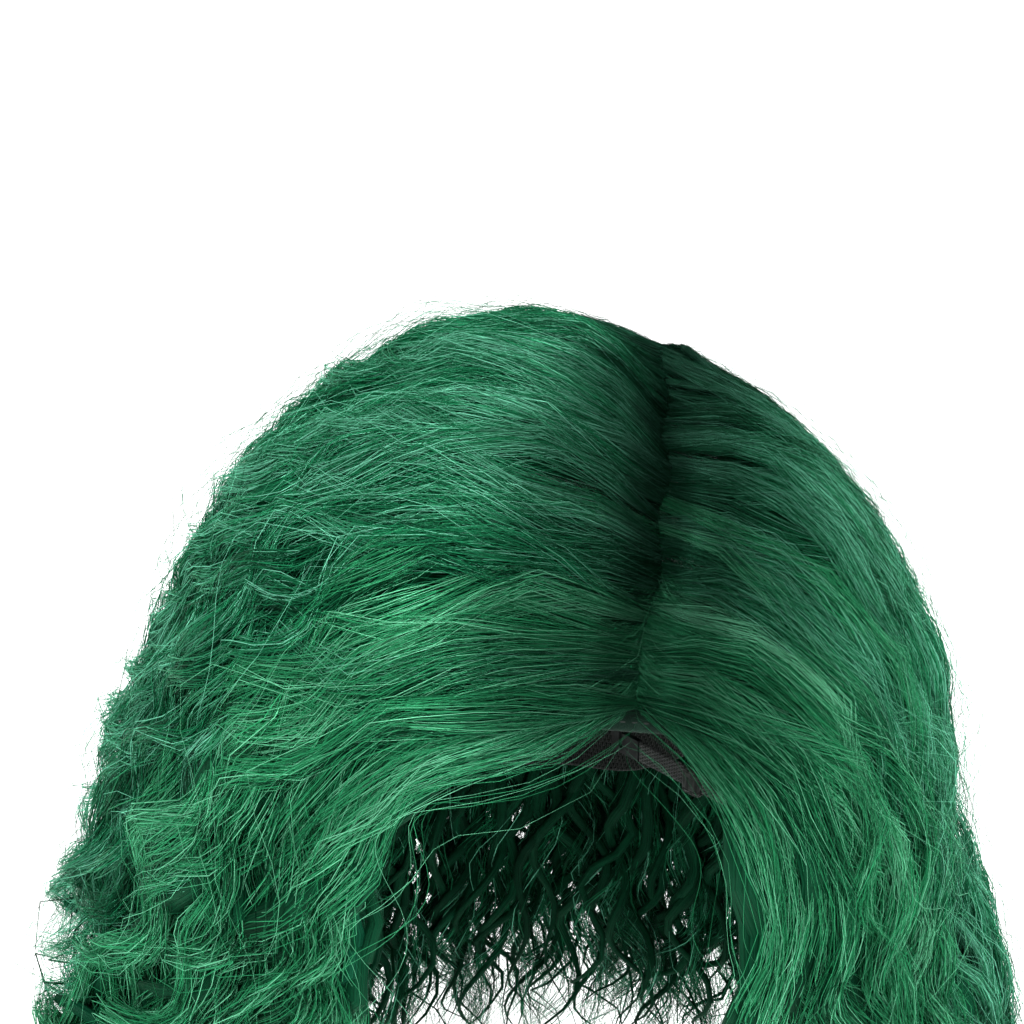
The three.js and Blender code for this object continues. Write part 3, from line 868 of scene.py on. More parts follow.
@dataclass
class HairForm:
    """The outer and inner surfaces that the hair lies between, as ovals stacked up the head."""

    head: HeadForm = field(default_factory=HeadForm)
    crown_rise: float = 0.0195
    half_width: float = 0.1130
    wider_right: float = 0.016
    front: float = 0.107
    back: float = 0.126
    flare: float = 0.034
    tuck: float = 0.014
    jaw_drop: float = 0.120
    drop: float = 0.226
    lift_crown: float = 0.006
    lift_ear: float = 0.012
    neck_drop: float = 0.09
    neck_in: tuple = (0.006, 0.014)
    thinnest: float = 0.006
    squareness: float = 2.0
    shoulder_drop: float = 0.11
    shoulder_drop_left: float = 0.11
    room: tuple = ((-0.169, 0.169), (-0.127, 0.152), (-0.243, 0.142))
    room_ease: float = 0.016

    def semi_axes(self, layer: Array, point: Array) -> tuple:
        """Half width, depth and height of the surface at a layer, near a point.

        Args:
            layer: 0 on the inner surface to 1 on the outer one.
            point: (..., 3) places from the head's centre.

        Returns:
            Arrays of half width, depth and top.
        """
        x, y, rise = point[..., 0], point[..., 1], point[..., 2]
        low = np.clip(-rise, 0, None)
        flare = self.flare * smooth(low / self.jaw_drop)
        tuck = self.tuck * smooth((low - self.jaw_drop) / (self.drop - self.jaw_drop))
        front_back = np.where(y < 0, self.front, self.back)
        lopsided = self.wider_right * smooth((0.02 - x) / 0.04) * smooth((0.05 - rise) / 0.075)
        outer_side = self.half_width + flare - tuck + lopsided
        outer_deep = front_back + (flare - tuck) / 4
        neck = smooth(low / self.neck_drop)
        inner_side = self.head.half_width + self.lift_ear - self.neck_in[0] * neck
        inner_deep = self.head.half_length + self.lift_crown - self.neck_in[1] * neck
        inner_deep = np.minimum(inner_deep, outer_deep - self.thinnest)
        side = inner_side + (outer_side - inner_side) * layer
        deep = inner_deep + (outer_deep - inner_deep) * layer
        top = self.head.rise + self.lift_crown + (self.crown_rise - self.lift_crown) * layer
        return side, deep, top

    def power(self, x: Array, layer: Array) -> Array:
        """How square the surface is over the shoulders of its dome; 2 is an oval."""
        drop = self.shoulder_drop + self.shoulder_drop_left * smooth((x + 0.02) / 0.06)
        return self.squareness - drop * np.clip(layer, 0, 1)

    def settle(self, points: Array, layer: Array) -> Array:
        """Moves points onto the surface at their layer.

        Args:
            points: (..., 3) places from the head's centre.
            layer: the layer of each.

        Returns:
            The moved points.
        """
        side, deep, top = self.semi_axes(layer, points)
        z = points[..., 2]
        flat = (points[..., 0] / side) ** 2 + (points[..., 1] / deep) ** 2
        power = self.power(points[..., 0], layer)
        whole = (flat ** (power / 2) + (np.clip(z, 0, None) / top) ** power) ** (1 / power)
        moved = points / np.maximum(whole, 1e-6)[..., None]
        moved[..., 2] = np.where(z > 0, moved[..., 2], z)
        return moved

    def forward(self, x: Array, rise: Array, layer: Array) -> Array:
        """Points on the front of the surface over given places across and up.

        Args:
            x: places across.
            rise: heights above the widest level.
            layer: the layer of each.

        Returns:
            (..., 3) places from the head's centre.
        """
        guess = np.stack([x, np.full_like(x, -self.front), rise], -1)
        side, deep, top = self.semi_axes(layer, guess)
        power = self.power(x, layer)
        room = (1 - np.clip(rise / top, 0, 1) ** power) ** (2 / power) - (x / side) ** 2
        return np.stack([x, -deep * np.sqrt(np.clip(room, 1e-4, None)), rise], -1)

    def held(self, points: Array) -> Array:
        """Points with the loosest ends eased back inside the room that the hair fills.

        Args:
            points: (..., 3) places from the head's centre.

        Returns:
            The held places.
        """
        kept = points.copy()
        for axis, (low, high) in enumerate(self.room):
            for end, side in ((low, -1), (high, 1)):
                past = np.clip(side * (kept[..., axis] - end) + self.room_ease, 0, None)
                kept[..., axis] -= side * (past - self.room_ease * np.tanh(past / self.room_ease))
        return kept

    def normal(self, points: Array, layer: Array) -> Array:
        """The outward direction of the surface through each point."""
        side, deep, top = self.semi_axes(layer, points)
        z = points[..., 2]
        up = np.where(z > 0, z / top**2, 0.0)
        return unit(np.stack([points[..., 0] / side**2, points[..., 1] / deep**2, up], -1))


# --- locks


@dataclass
class LockPlan:
    """A group of locks, one row each: where it starts and how it lies."""

    root: Array
    heading: Array
    layer: Array
    length: Array
    pull: Array
    tone: Array
    strands: Array
    phase: Array
    curl: Array
    inner: Array
    round: Array
    start: Array
    flick: Array
    size: Array

    @staticmethod
    def of(count: int, **given: object) -> "LockPlan":
        """A group of locks, each value either an array or the same for all.

        Args:
            count: how many locks.
            **given: the values by name; the last five have usual ones.

        Returns:
            The group.
        """
        usual = {"inner": False, "round": False, "start": 0.1, "flick": 0.0, "size": 1.0}
        rows = {name: given.get(name, usual.get(name)) for name in LockPlan.__dataclass_fields__}
        arrays = {n: v if isinstance(v, np.ndarray) else np.full(count, v) for n, v in rows.items()}
        return LockPlan(**arrays)

    @staticmethod
    def join(plans: list["LockPlan"]) -> "LockPlan":
        """Several groups as one."""
        names = LockPlan.__dataclass_fields__
        return LockPlan(*[np.concatenate([getattr(p, n) for p in plans]) for n in names])

    def only(self, chosen: Array) -> "LockPlan":
        """The chosen rows."""
        return LockPlan(*[getattr(self, n)[chosen] for n in LockPlan.__dataclass_fields__])


def clumped(share: Array, knots: int, rng: Chance) -> Array:
    """Phases that neighbours share: random values at knots along 0 to 1, eased between."""
    at = np.clip(share, 0, 0.9999) * knots
    low = np.floor(at).astype(int)
    values = rng.uniform(0, 2 * math.pi, knots + 1)
    return values[low] + (values[low + 1] - values[low]) * smooth((at - low - 0.3) / 0.4)


@dataclass
class Fall:
    """How the hair of one side leaves the parting, at stops from its front to its back."""

    drift: tuple[float, ...]
    pull: tuple[float, ...]
    curl: float


@dataclass
class Parting:
    """The parting line, and the locks that fall from it to both sides and over the back."""

    form: HairForm
    lean: float = math.radians(15.5)
    front: float = -0.080
    back: float = 0.030
    per_side: tuple = (34, 40, 44)
    stops: tuple = (-0.080, -0.05, 0.0, 0.042)
    layers: tuple = (1.0, 0.78, 0.55)
    fibres: tuple = (76, 22, 6)
    sizes: tuple = (1.0, 1.1, 1.2)
    clumps: tuple = (13, 17)
    arch: float = 0.108
    reach: float = 0.11
    bend: float = 0.012
    bend_rate: float = 210.0
    lengths: tuple = (0.29, 0.385)
    # mean tone, how much darker each deeper layer is made as painted shade, and spread
    tones: tuple = (0.48, 0.13, 0.16)
    scalp_layer: float = 0.10
    end_layer: float = 0.96
    tuft_lengths: tuple = (0.30, 0.20)
    tuft_strands: int = 30
    tuft_flick: tuple = (0.06, 0.22)
    tuft_sizes: tuple = (0.45, 0.7)
    crown_share: float = 1.25
    crown_angles: tuple = (-6, 186)
    crown_radius: float = 0.006
    falls: dict = field(
        default_factory=lambda: {
            Hand.RIGHT: Fall((0.00, 0.16, 0.30, 0.70), (0.13, 0.095, 0.08, 0.085), 1.0),
            Hand.LEFT: Fall((-0.30, -0.18, 0.02, 0.50), (0.26, 0.19, 0.14, 0.12), 0.72),
        }
    )

    def point(self, y: Array, layer: Array) -> Array:
        """A place on the parting at y."""
        share = np.sqrt(np.clip(1 - (y / self.arch) ** 2, 0, 1))
        lean = self.lean + self.bend * np.sin(y * self.bend_rate)
        guess = np.stack([self.reach * share * np.sin(lean), y, self.reach * share * np.cos(lean)], -1)
        return self.form.settle(guess, layer)

    def layer_of(self, depth: int, roots: Array, fall: Fall, rng: Chance, phase: Array) -> LockPlan:
        """One layer of locks from given roots.

        Args:
            depth: which layer, 0 outermost.
            roots: (locks, 6) places and headings.
            fall: how they leave the parting.
            rng: seeded chance.
            phase: where each lock is in its wave.

        Returns:
            The layer's plan.
        """
        count = len(roots)
        pull = np.interp(roots[:, 1], self.stops, fall.pull) * rng.uniform(0.85, 1.15, count)
        return LockPlan.of(
            count,
            root=roots[:, :3],
            heading=unit(roots[:, 3:]),
            layer=np.full(count, self.layers[depth]) + rng.uniform(-0.13, 0.05, count),
            length=rng.uniform(*self.lengths, count) - 0.02 * depth,
            pull=pull,
            # each deeper layer's tone is lowered: painted shade
            tone=np.clip(rng.normal(self.tones[0] - self.tones[1] * depth, self.tones[2], count), 0, 1),
            strands=self.fibres[depth],
            phase=phase + rng.normal(0, 0.25, count),
            curl=fall.curl * rng.uniform(0.8, 1.2, count),
            inner=depth > 0,
            start=self.start(roots[:, 1]),
            size=self.sizes[depth] * rng.uniform(0.6, 1.3, count),
        )

    def start(self, y: Array) -> Array:
        """The layer that the parting lies in at y: on the scalp, and higher towards its back end."""
        return self.scalp_layer + (self.end_layer - self.scalp_layer) * smooth(y / self.back)

    def tufts(self, rng: Chance) -> LockPlan:
        """The plan of short locks that break out of the wearer's right side with flicked ends.

        Args:
            rng: seeded chance.

        Returns:
            The tufts' plan.
        """
        plan = self.side(Hand.RIGHT, rng).only(np.arange(4, self.per_side[0] - 3, 2))
        count = len(plan.root)
        plan.length = np.linspace(*self.tuft_lengths, count) + rng.normal(0, 0.02, count)
        plan.strands = np.full(count, self.tuft_strands)
        plan.flick = rng.uniform(*self.tuft_flick, count)
        plan.size = rng.uniform(*self.tuft_sizes, count)
        return plan

    def side(self, hand: Hand, rng: Chance) -> LockPlan:
        """The plan of the locks that fall to one side.

        Args:
            hand: the wearer's side.
            rng: seeded chance.

        Returns:
            The side's plan.
        """
        plans = []
        fall = self.falls[hand]
        for depth in range(len(self.layers)):
            count = self.per_side[depth]
            share = (np.arange(count) + rng.uniform(0.1, 0.9, count)) / count
            y = self.front + (self.back - self.front) * share
            place = self.point(y, self.start(y))
            drift = np.interp(y, self.stops, fall.drift) + rng.normal(0, 0.13, count)
            heading = np.stack([np.full(count, float(hand.value)), drift, 0 * y], -1)
            phase = clumped(share, self.clumps[0], rng)
            plans.append(self.layer_of(depth, np.hstack([place, heading]), fall, rng, phase))
        return LockPlan.join(plans)

    def crown(self, rng: Chance) -> LockPlan:
        """The plan of the locks that fan out over the back from the parting's end.

        Args:
            rng: seeded chance.

        Returns:
            The crown's plan.
        """
        plans = []
        fall = Fall((0, 0, 0, 0), (0.1, 0.1, 0.1, 0.1), 0.9)
        for depth in range(len(self.layers)):
            count = int(self.per_side[depth] * self.crown_share)
            share = (np.arange(count) + rng.uniform(0.1, 0.9, count)) / count
            angle = np.radians(np.interp(share, [0, 1], self.crown_angles))
            y = np.full(count, self.back) + self.crown_radius * np.sin(angle)
            place = self.point(y, self.start(y))
            place[:, 0] += self.crown_radius * np.cos(angle)
            heading = np.stack([np.cos(angle), np.sin(angle), 0 * angle], -1)
            phase = clumped(share, self.clumps[1], rng)
            plans.append(self.layer_of(depth, np.hstack([place, heading]), fall, rng, phase))
        return LockPlan.join(plans)


@dataclass
class WeftFall:
    """Locks sewn to the rows of wefting round the sides and back, under the top hair."""

    form: HairForm
    rises: tuple = (0.045, 0.012, -0.02, -0.05)
    per_row: int = 54
    strands: tuple = (10, 24)
    reach: float = math.radians(118)

    def fall(self, rng: Chance) -> LockPlan:
        """The plan of every row's locks.

        Args:
            rng: seeded chance.

        Returns:
            The locks' plan.
        """
        plans = []
        for rise in self.rises:
            count = self.per_row
            reach = self.reach if rise >= 0 else self.reach * 0.74
            turn = math.pi + np.linspace(-reach, reach, count) + rng.normal(0, 0.02, count)
            guess = np.stack([0.1 * np.sin(turn), -0.1 * np.cos(turn), np.full(count, rise)], -1)
            plans.append(
                LockPlan.of(
                    count,
                    root=self.form.settle(guess, np.full(count, -0.1)),
                    heading=np.tile([0.0, 0.0, -1.0], (count, 1)) + rng.normal(0, 0.15, (count, 3)),
                    layer=rng.uniform(0.05, 0.75, count),
                    length=self.form.drop + rise - rng.uniform(0.0, 0.035, count),
                    pull=0.3,
                    # a darker mean tone for the hair under the top layer: painted shade
                    tone=np.clip(rng.normal(0.36, 0.13, count), 0, 1),
                    strands=self.strands[0] if rise > 0 else self.strands[1],
                    phase=5 * turn + rng.normal(0, 0.7, count),
                    curl=rng.uniform(0.6, 1.0, count),
                    inner=True,
                    round=True,
                )
            )
        return LockPlan.join(plans)


@dataclass
class FaceWindow:
    """The opening for the face: its edge goes from the front of the parting down each side."""

    right_edge: tuple = (
        (0.0165, 0.0630), (0.0030, 0.0572), (-0.0140, 0.0545), (-0.0280, 0.0545), (-0.0385, 0.0460),
        (-0.0445, 0.0270), (-0.0500, 0.0000), (-0.0535, -0.0300), (-0.0560, -0.0700), (-0.0620, -0.1400),
    )
    left_edge: tuple = (
        (0.0165, 0.0630), (0.0265, 0.0612), (0.0365, 0.0550), (0.0445, 0.0410), (0.0475, 0.0280),
        (0.0495, 0.0000), (0.0500, -0.0300), (0.0520, -0.0700), (0.0580, -0.1400),
    )
    half_width: float = 0.047
    widening: float = 0.07
    depth: float = -0.03

    def edge(self, hand: Hand) -> Array:
        """One side's edge, as (x, rise) points from the top down."""
        return np.array(self.right_edge if hand is Hand.RIGHT else self.left_edge)

    def part(self, points: Array) -> Array:
        """Moves points that fall in the opening out to its edge.

        Args:
            points: (..., 3) places from the head's centre.

        Returns:
            The moved points.
        """
        x, y, z = points[..., 0], points[..., 1], points[..., 2]
        line = np.concatenate([self.edge(Hand.RIGHT)[:7][::-1], self.edge(Hand.LEFT)[1:6]])
        edge = np.interp(x, line[:, 0], line[:, 1])
        front = smooth((self.depth - y) / 0.02)
        lift = np.clip(edge - z, 0, 0.05) * smooth((z + 0.01) / 0.03) * front
        moved = points.copy()
        moved[..., 2] = z + 0.75 * lift
        inside = smooth((edge - moved[..., 2]) / 0.012) * front
        wide = self.half_width + self.widening * np.clip(-z - 0.03, 0, 0.15)
        target = np.sign(x - 0.004) * np.maximum(np.abs(x), wide)
        moved[..., 0] = x + (target - x) * inside
        return moved


@dataclass
class FaceFrame:
    """Locks that follow the opening's edge from the parting and hang beside the face."""

    form: HairForm
    window: FaceWindow
    parting: Parting
    margin: float = 0.003
    spread: float = 0.036
    per_layer: int = 15
    layers: tuple = (0.16, 0.42, 0.70)
    strands: int = 22
    strays: int = 6
    stray_offsets: tuple = (-0.009, -0.001)
    curl: dict = field(default_factory=lambda: {Hand.RIGHT: 1.05, Hand.LEFT: 0.7})
    lock_size: float = 0.75
    steps: int = 56

    def route(self, hand: Hand, offset: float, layer: float, length: float) -> Array:
        """The line of a lock that lies at an offset outside the opening's edge.

        Args:
            hand: the side of the face.
            offset: how far outside the edge it lies.
            layer: how high above the head it lies.
            length: its length.

        Returns:
            (steps + 1, 3) places from the head's centre.
        """
        edge = self.window.edge(hand)
        run = np.concatenate([[0], np.cumsum(np.linalg.norm(np.diff(edge, axis=0), axis=1))])
        at = np.linspace(0, length, self.steps + 1)
        line = np.stack([np.interp(at, run, edge[:, k]) for k in (0, 1)], -1)
        past = np.clip(at - run[-1], 0, None)
        line[:, 1] -= past
        kernel = np.exp(-np.linspace(-1.6, 1.6, 9) ** 2)
        for k in (0, 1):
            padded = np.pad(line[:, k], 4, mode="reflect", reflect_type="odd")
            line[:, k] = np.convolve(padded, kernel / kernel.sum(), mode="valid")
        along = unit(np.gradient(line, axis=0))
        away = np.stack([-along[:, 1], along[:, 0]], -1) * (1 if hand is Hand.LEFT else -1)
        line = line + away * offset * (0.55 + 0.45 * smooth(at / 0.08))[:, None]
        height = 0.06 + (layer - 0.06) * smooth(at / 0.035)
        path = self.form.forward(line[:, 0], line[:, 1], height)
        back = self.parting.front + 0.75 * offset
        root = self.parting.point(np.array([back]), np.array([0.1]))[0]
        join = smooth(at / 0.045)[:, None]
        return root + (path - root) * join

    def fall(self, hand: Hand, rng: Chance) -> tuple[LockPlan, Array]:
        """The plan and lines of the locks at one side of the face.

        Args:
            hand: the wearer's side.
            rng: seeded chance.

        Returns:
            Their plan and their centre lines.
        """
        routes, layers, offsets = [], [], []
        for depth, layer in enumerate(self.layers):
            for k in range(self.per_layer):
                offset = self.margin + self.spread * (k + rng.uniform(0.1, 0.9)) / self.per_layer
                height = layer * (0.35 + 0.65 * offset / self.spread) + rng.uniform(-0.05, 0.05)
                offsets.append(offset + 0.0015 * depth)
                layers.append(height)
        dense = len(layers)
        offsets += list(rng.uniform(*self.stray_offsets, self.strays))
        layers += list(rng.uniform(0.2, 0.9, self.strays))
        count = len(layers)
        length = rng.uniform(0.24, 0.33, count)
        length[dense:] *= rng.uniform(0.35, 0.8, self.strays)
        for offset, layer, long in zip(offsets, layers, length):
            routes.append(self.route(hand, offset, layer, long))
        lines = np.stack(routes)
        share = np.array(offsets) / self.spread
        plan = LockPlan.of(
            count,
            root=lines[:, 0],
            heading=lines[:, 1] - lines[:, 0],
            layer=np.array(layers),
            length=length,
            pull=0.1,
            tone=np.clip(rng.normal(0.52, 0.12, count), 0, 1),
            strands=np.where(np.arange(count) < dense, self.strands, 1),
            phase=1.2 + 2.2 * share + rng.normal(0, 0.35, count),
            curl=self.curl[hand],
            size=self.lock_size,
        )
        return plan, lines


@dataclass
class LockGrower:
    """Grows each lock's centre line from its root, over the head and down."""

    form: HairForm
    window: FaceWindow
    steps: int = 56
    emerge: float = 0.028
    uneven_ends: float = 0.032
    scallop: float = 0.10
    scallop_length: float = 0.085
    wander: float = 0.12
    wander_length: float = 0.12
    highest: float = 1.02
    first_steep: float = 0.25
    steep_width: float = 0.06
    pull_step: float = 0.008
    turn_step: float = 0.0065

    def grow(self, plan: LockPlan) -> Array:
        """Centre lines of all locks.

        Args:
            plan: the locks.

        Returns:
            (locks, steps + 1, 3) places from the head's centre.
        """
        place = plan.root.copy()
        heading = unit(plan.heading)
        step = (plan.length / self.steps)[:, None]
        lines = [place.copy()]
        down = np.array([0.0, 0.0, -1.0])
        for i in range(self.steps):
            run = (i + 1) * step[:, 0]
            wave = np.sin(2 * math.pi * run / self.scallop_length + plan.phase * 2)
            swell = self.scallop * smooth(run / 0.22) * wave
            layer = plan.start + (plan.layer + swell - 0.05 - plan.start) * smooth(run / self.emerge)
            layer = np.minimum(layer, self.highest) + plan.flick * smooth(4 * (i + 1) / self.steps - 3)
            out = self.form.normal(place, layer)
            slope = down - out * (out @ down)[:, None]
            gone = smooth(np.abs(place[:, 0] - plan.root[:, 0]) / self.steep_width)
            steep = self.first_steep + (1 - self.first_steep) * gone
            steep = np.maximum(steep, smooth((place[:, 1] + 0.03) / 0.03))
            pull = plan.pull * steep * step[:, 0] / self.pull_step
            aside = np.cross(out, heading)
            turning = self.wander * np.sin(2 * math.pi * run / self.wander_length + plan.phase * 1.3)
            turning = turning * smooth(run / 0.09) * step[:, 0] / self.turn_step
            heading = across_of(heading + slope * pull[:, None] + aside * turning[:, None], out)
            moved = self.form.settle(place + heading * step, layer)
            moved = self.window.part(moved)
            heading = unit(moved - place)
            place = moved
            lines.append(place.copy())
        return np.stack(lines, 1)

    def cut(self, plan: LockPlan, lines: Array, rng: Chance) -> Array:
        """Cuts the locks off a little unevenly above the hair's lower end.

        Args:
            plan: the locks, whose lengths are shortened to what is left.
            lines: their centre lines.
            rng: seeded chance.

        Returns:
            The cut centre lines, with as many points as before.
        """
        last = self.steps
        ends = self.uneven_ends * rng.uniform(0, 1, len(lines)) - self.form.drop
        below = lines[..., 2] < ends[:, None]
        first = np.where(below.any(1), below.argmax(1), last)
        plan.length = plan.length * first / last
        return resampled(lines, first[:, None] * np.linspace(0, 1, last + 1)[None, :])


# --- fibres


@dataclass
class LockFrames:
    """The waved centre lines of some locks, with the directions that their fibres are laid in."""

    centre: Array
    across: Array
    out: Array
    length: Array
    wave: Array
    curl: Array
    grow: Array
    ends: Array


@dataclass
class StrandSpinner:
    """Spins the fibres of each lock round its centre line, with its waves and curls."""

    form: HairForm
    radius: float = 0.00014
    wave_length: float = 0.050
    wave_height: float = 0.0066
    wave_lift: float = 0.42
    ringlet_length: float = 0.043
    ringlet_height: float = 0.0048
    lock_width: float = 0.0074
    lock_depth: float = 0.0046
    twist: float = 0.9
    twist_length: float = 0.085
    breathe: float = 0.25
    smooth_share: float = 0.2
    flyaways: float = 0.07
    flyaway_lift: float = 0.011
    untidy: float = 0.13
    shortest_fibre: float = 0.80
    ripples: tuple = ((0.0012, 0.06, 0.14), (0.0003, 0.034, 0.055))
    tone_spread: float = 0.19
    # share of fibres given the lightest tones: partly random tone, partly painted highlight
    bright_share: float = 0.09
    core_sunk: float = 0.0034
    core_width: float = 0.0050
    core_depth: float = 0.0024
    core_end: float = 0.0002
    core_sides: int = 8

    def frames(self, plan: LockPlan, lines: Array, rings: int, rng: Chance) -> LockFrames:
        """The locks' centre lines at a number of rings, closer together past their smooth tops.

        Args:
            plan: the locks.
            lines: their centre lines.
            rings: how many rings to give each.
            rng: seeded chance.

        Returns:
            The waved lines.
        """
        locks = len(lines)
        share = np.linspace(0, 1, lines.shape[1])
        even = np.linspace(0, 1, rings)
        fine = np.interp(even, [0, self.smooth_share, 1], [0, 0.34, 1])
        columns = [[np.interp(fine, share, line[:, k]) for k in range(3)] for line in lines]
        centre = np.stack([np.stack(column, -1) for column in columns])
        length = plan.length[:, None] * fine[None, :]
        tangent = unit(np.gradient(centre, axis=1))
        out = self.form.normal(centre, np.repeat(plan.layer[:, None], rings, 1))
        out = across_of(out, tangent)
        size = plan.curl[:, None]
        return LockFrames(
            centre=centre,
            across=np.cross(tangent, out),
            out=out,
            length=length,
            wave=self.wave_length * np.clip(1 + rng.normal(0, 0.10, locks), 0.75, 1.35)[:, None],
            curl=self.ringlet_length * rng.uniform(0.92, 1.1, locks)[:, None],
            grow=(0.12 + 0.88 * smooth((length - 0.005) / 0.10)) * size,
            ends=smooth((length - 0.16) / 0.13) * size,
        )

    def offsets(self, frames: LockFrames, lock: Array, phase: Array) -> tuple:
        """How far a lock's wave carries a fibre sideways and outwards.

        Args:
            frames: their waved centre lines.
            lock: the lock of each fibre.
            phase: each fibre's place in the wave.

        Returns:
            Distances sideways and outwards.
        """
        length = frames.length[lock]
        angle = 2 * math.pi * length / frames.wave[lock] + phase
        curl = 2 * math.pi * length / frames.curl[lock] + phase * 1.7
        grow, ends = frames.grow[lock], frames.ends[lock]
        side = self.wave_height * grow * np.sin(angle) + self.ringlet_height * ends * np.sin(curl)
        out = self.wave_lift * self.wave_height * grow * np.cos(angle)
        return side, out + self.ringlet_height * ends * np.cos(curl)

    def fibres(self, plan: LockPlan, frames: LockFrames, rng: Chance) -> Shape:
        """The fibres of some locks, as tubes.

        Args:
            plan: the locks.
            frames: their waved centre lines.
            rng: seeded chance.

        Returns:
            The tubes, placed from the head's centre.
        """
        lock = np.repeat(np.arange(len(plan.strands)), plan.strands)
        count, rings = len(lock), frames.centre.shape[1]
        fine = frames.length[0] / frames.length[0, -1]
        ring = rng.uniform(0, 1, count) ** 0.55
        half = np.where(plan.round[lock], 2 * math.pi, math.pi)
        spin = rng.uniform(0, 1, count) * np.where(rng.uniform(0, 1, count) < 0.12, 2 * math.pi, half)
        gathered = self.lock_width * (1 - 0.5 * smooth(fine * 1.3)) * smooth(0.34 + fine * 7)
        phase = plan.phase[lock][:, None] + rng.normal(0, self.untidy, count)[:, None]
        side, out = self.offsets(frames, lock, phase)
        tidy = np.clip(rng.normal(1, self.untidy, count), 0.4, 1.7)[:, None]
        side, out = side * tidy, out * tidy
        chance = rng.uniform(0, 1, count)
        fly = (chance < self.flyaways) | (plan.strands[lock] == 1)
        stray = np.where(fly, rng.uniform(2.5, 7.0, count), np.where(chance < 0.16, 2.2, 1.0))[:, None]
        length = frames.length[lock]
        turned = 2 * math.pi * length / self.twist_length + plan.phase[lock][:, None] * 2.3
        spin = spin[:, None] + self.twist * np.sin(turned)
        wide = gathered[None, :] * plan.size[lock][:, None] * (1 + self.breathe * np.cos(turned * 0.8))
        loose = stray * (0.2 + 0.8 * smooth(length / 0.18))
        for height, low, high in self.ripples:
            rate = 2 * math.pi / rng.uniform(low, high, (count, 1))
            start = rng.uniform(0, 2 * math.pi, (count, 2))
            side = side + height * loose * np.sin(rate * length + start[:, :1])
            out = out + height * np.minimum(loose, 4.5) * np.sin(rate * length * 0.9 + start[:, 1:])
        side = side + ring[:, None] * np.cos(spin) * wide
        lifted = np.where(fly, rng.uniform(0.0, self.flyaway_lift, count), 0)[:, None]
        out = out + lifted * smooth((length - 0.005) / 0.05) * (0.7 + 0.3 * np.sin(length / 0.02 + phase))
        deep = self.lock_depth * smooth(0.2 + fine * 4)
        out = out + ring[:, None] * np.sin(spin) * deep[None, :]
        path = frames.centre[lock] + frames.across[lock] * side[..., None] + frames.out[lock] * out[..., None]
        tone = plan.tone[lock] + rng.normal(0, self.tone_spread, count)
        # painted highlight: fibres chosen at random take the palette's lightest tones, which stand in for
        # glints on the hair, over real random tone variation
        bright = rng.uniform(0, 1, count) < self.bright_share
        tone = np.where(bright, rng.uniform(0.85, 1.0, count), tone)
        radius = self.radius * rng.uniform(0.75, 1.25, count) * np.where(fly, 0.5, 1.0)
        taper = np.sin(np.linspace(0.12, math.pi - 0.1, rings)) ** 0.45
        path = self.form.held(self.trimmed(path, rng.uniform(self.shortest_fibre, 1.0, count)))
        return Tubes().shape(path, radius[:, None] * taper[None, :], tone)

    def trimmed(self, path: Array, kept: Array) -> Array:
        """Lines cut to a share of their length, with the same number of rings."""
        rings = path.shape[1]
        return resampled(path, kept[:, None] * np.linspace(0, rings - 1, rings)[None, :])

    def cores(self, plan: LockPlan, frames: LockFrames, rng: Chance) -> Shape:
        """The soft tapering mass inside each lock, which its fibres lie over, in a dark finish that is
        painted shade.

        Args:
            plan: the locks.
            frames: their waved centre lines.
            rng: seeded chance.

        Returns:
            The tubes.
        """
        lock = np.arange(len(plan.strands))
        side, out = self.offsets(frames, lock, plan.phase[:, None])
        fine = frames.length[0] / frames.length[0, -1]
        out = out - self.core_sunk * smooth(fine * 4)[None, :]
        path = self.form.held(frames.centre + frames.across * side[..., None] + frames.out * out[..., None])
        taper = smooth((fine - 0.05) * 6) * smooth((1 - fine) * 2.2)
        wide = self.core_width * (1 - 0.5 * smooth(fine)) * taper + self.core_end
        deep = self.core_depth * taper + self.core_end
        locks = len(lock)
        fat = rng.uniform(0.8, 1.1, (locks, 1)) * np.where(plan.round, 0.5, plan.size)[:, None]
        tubes = Tubes(self.core_sides)
        return tubes.shape(path, fat * wide[None, :], plan.tone, fat * deep[None, :], frames.out)


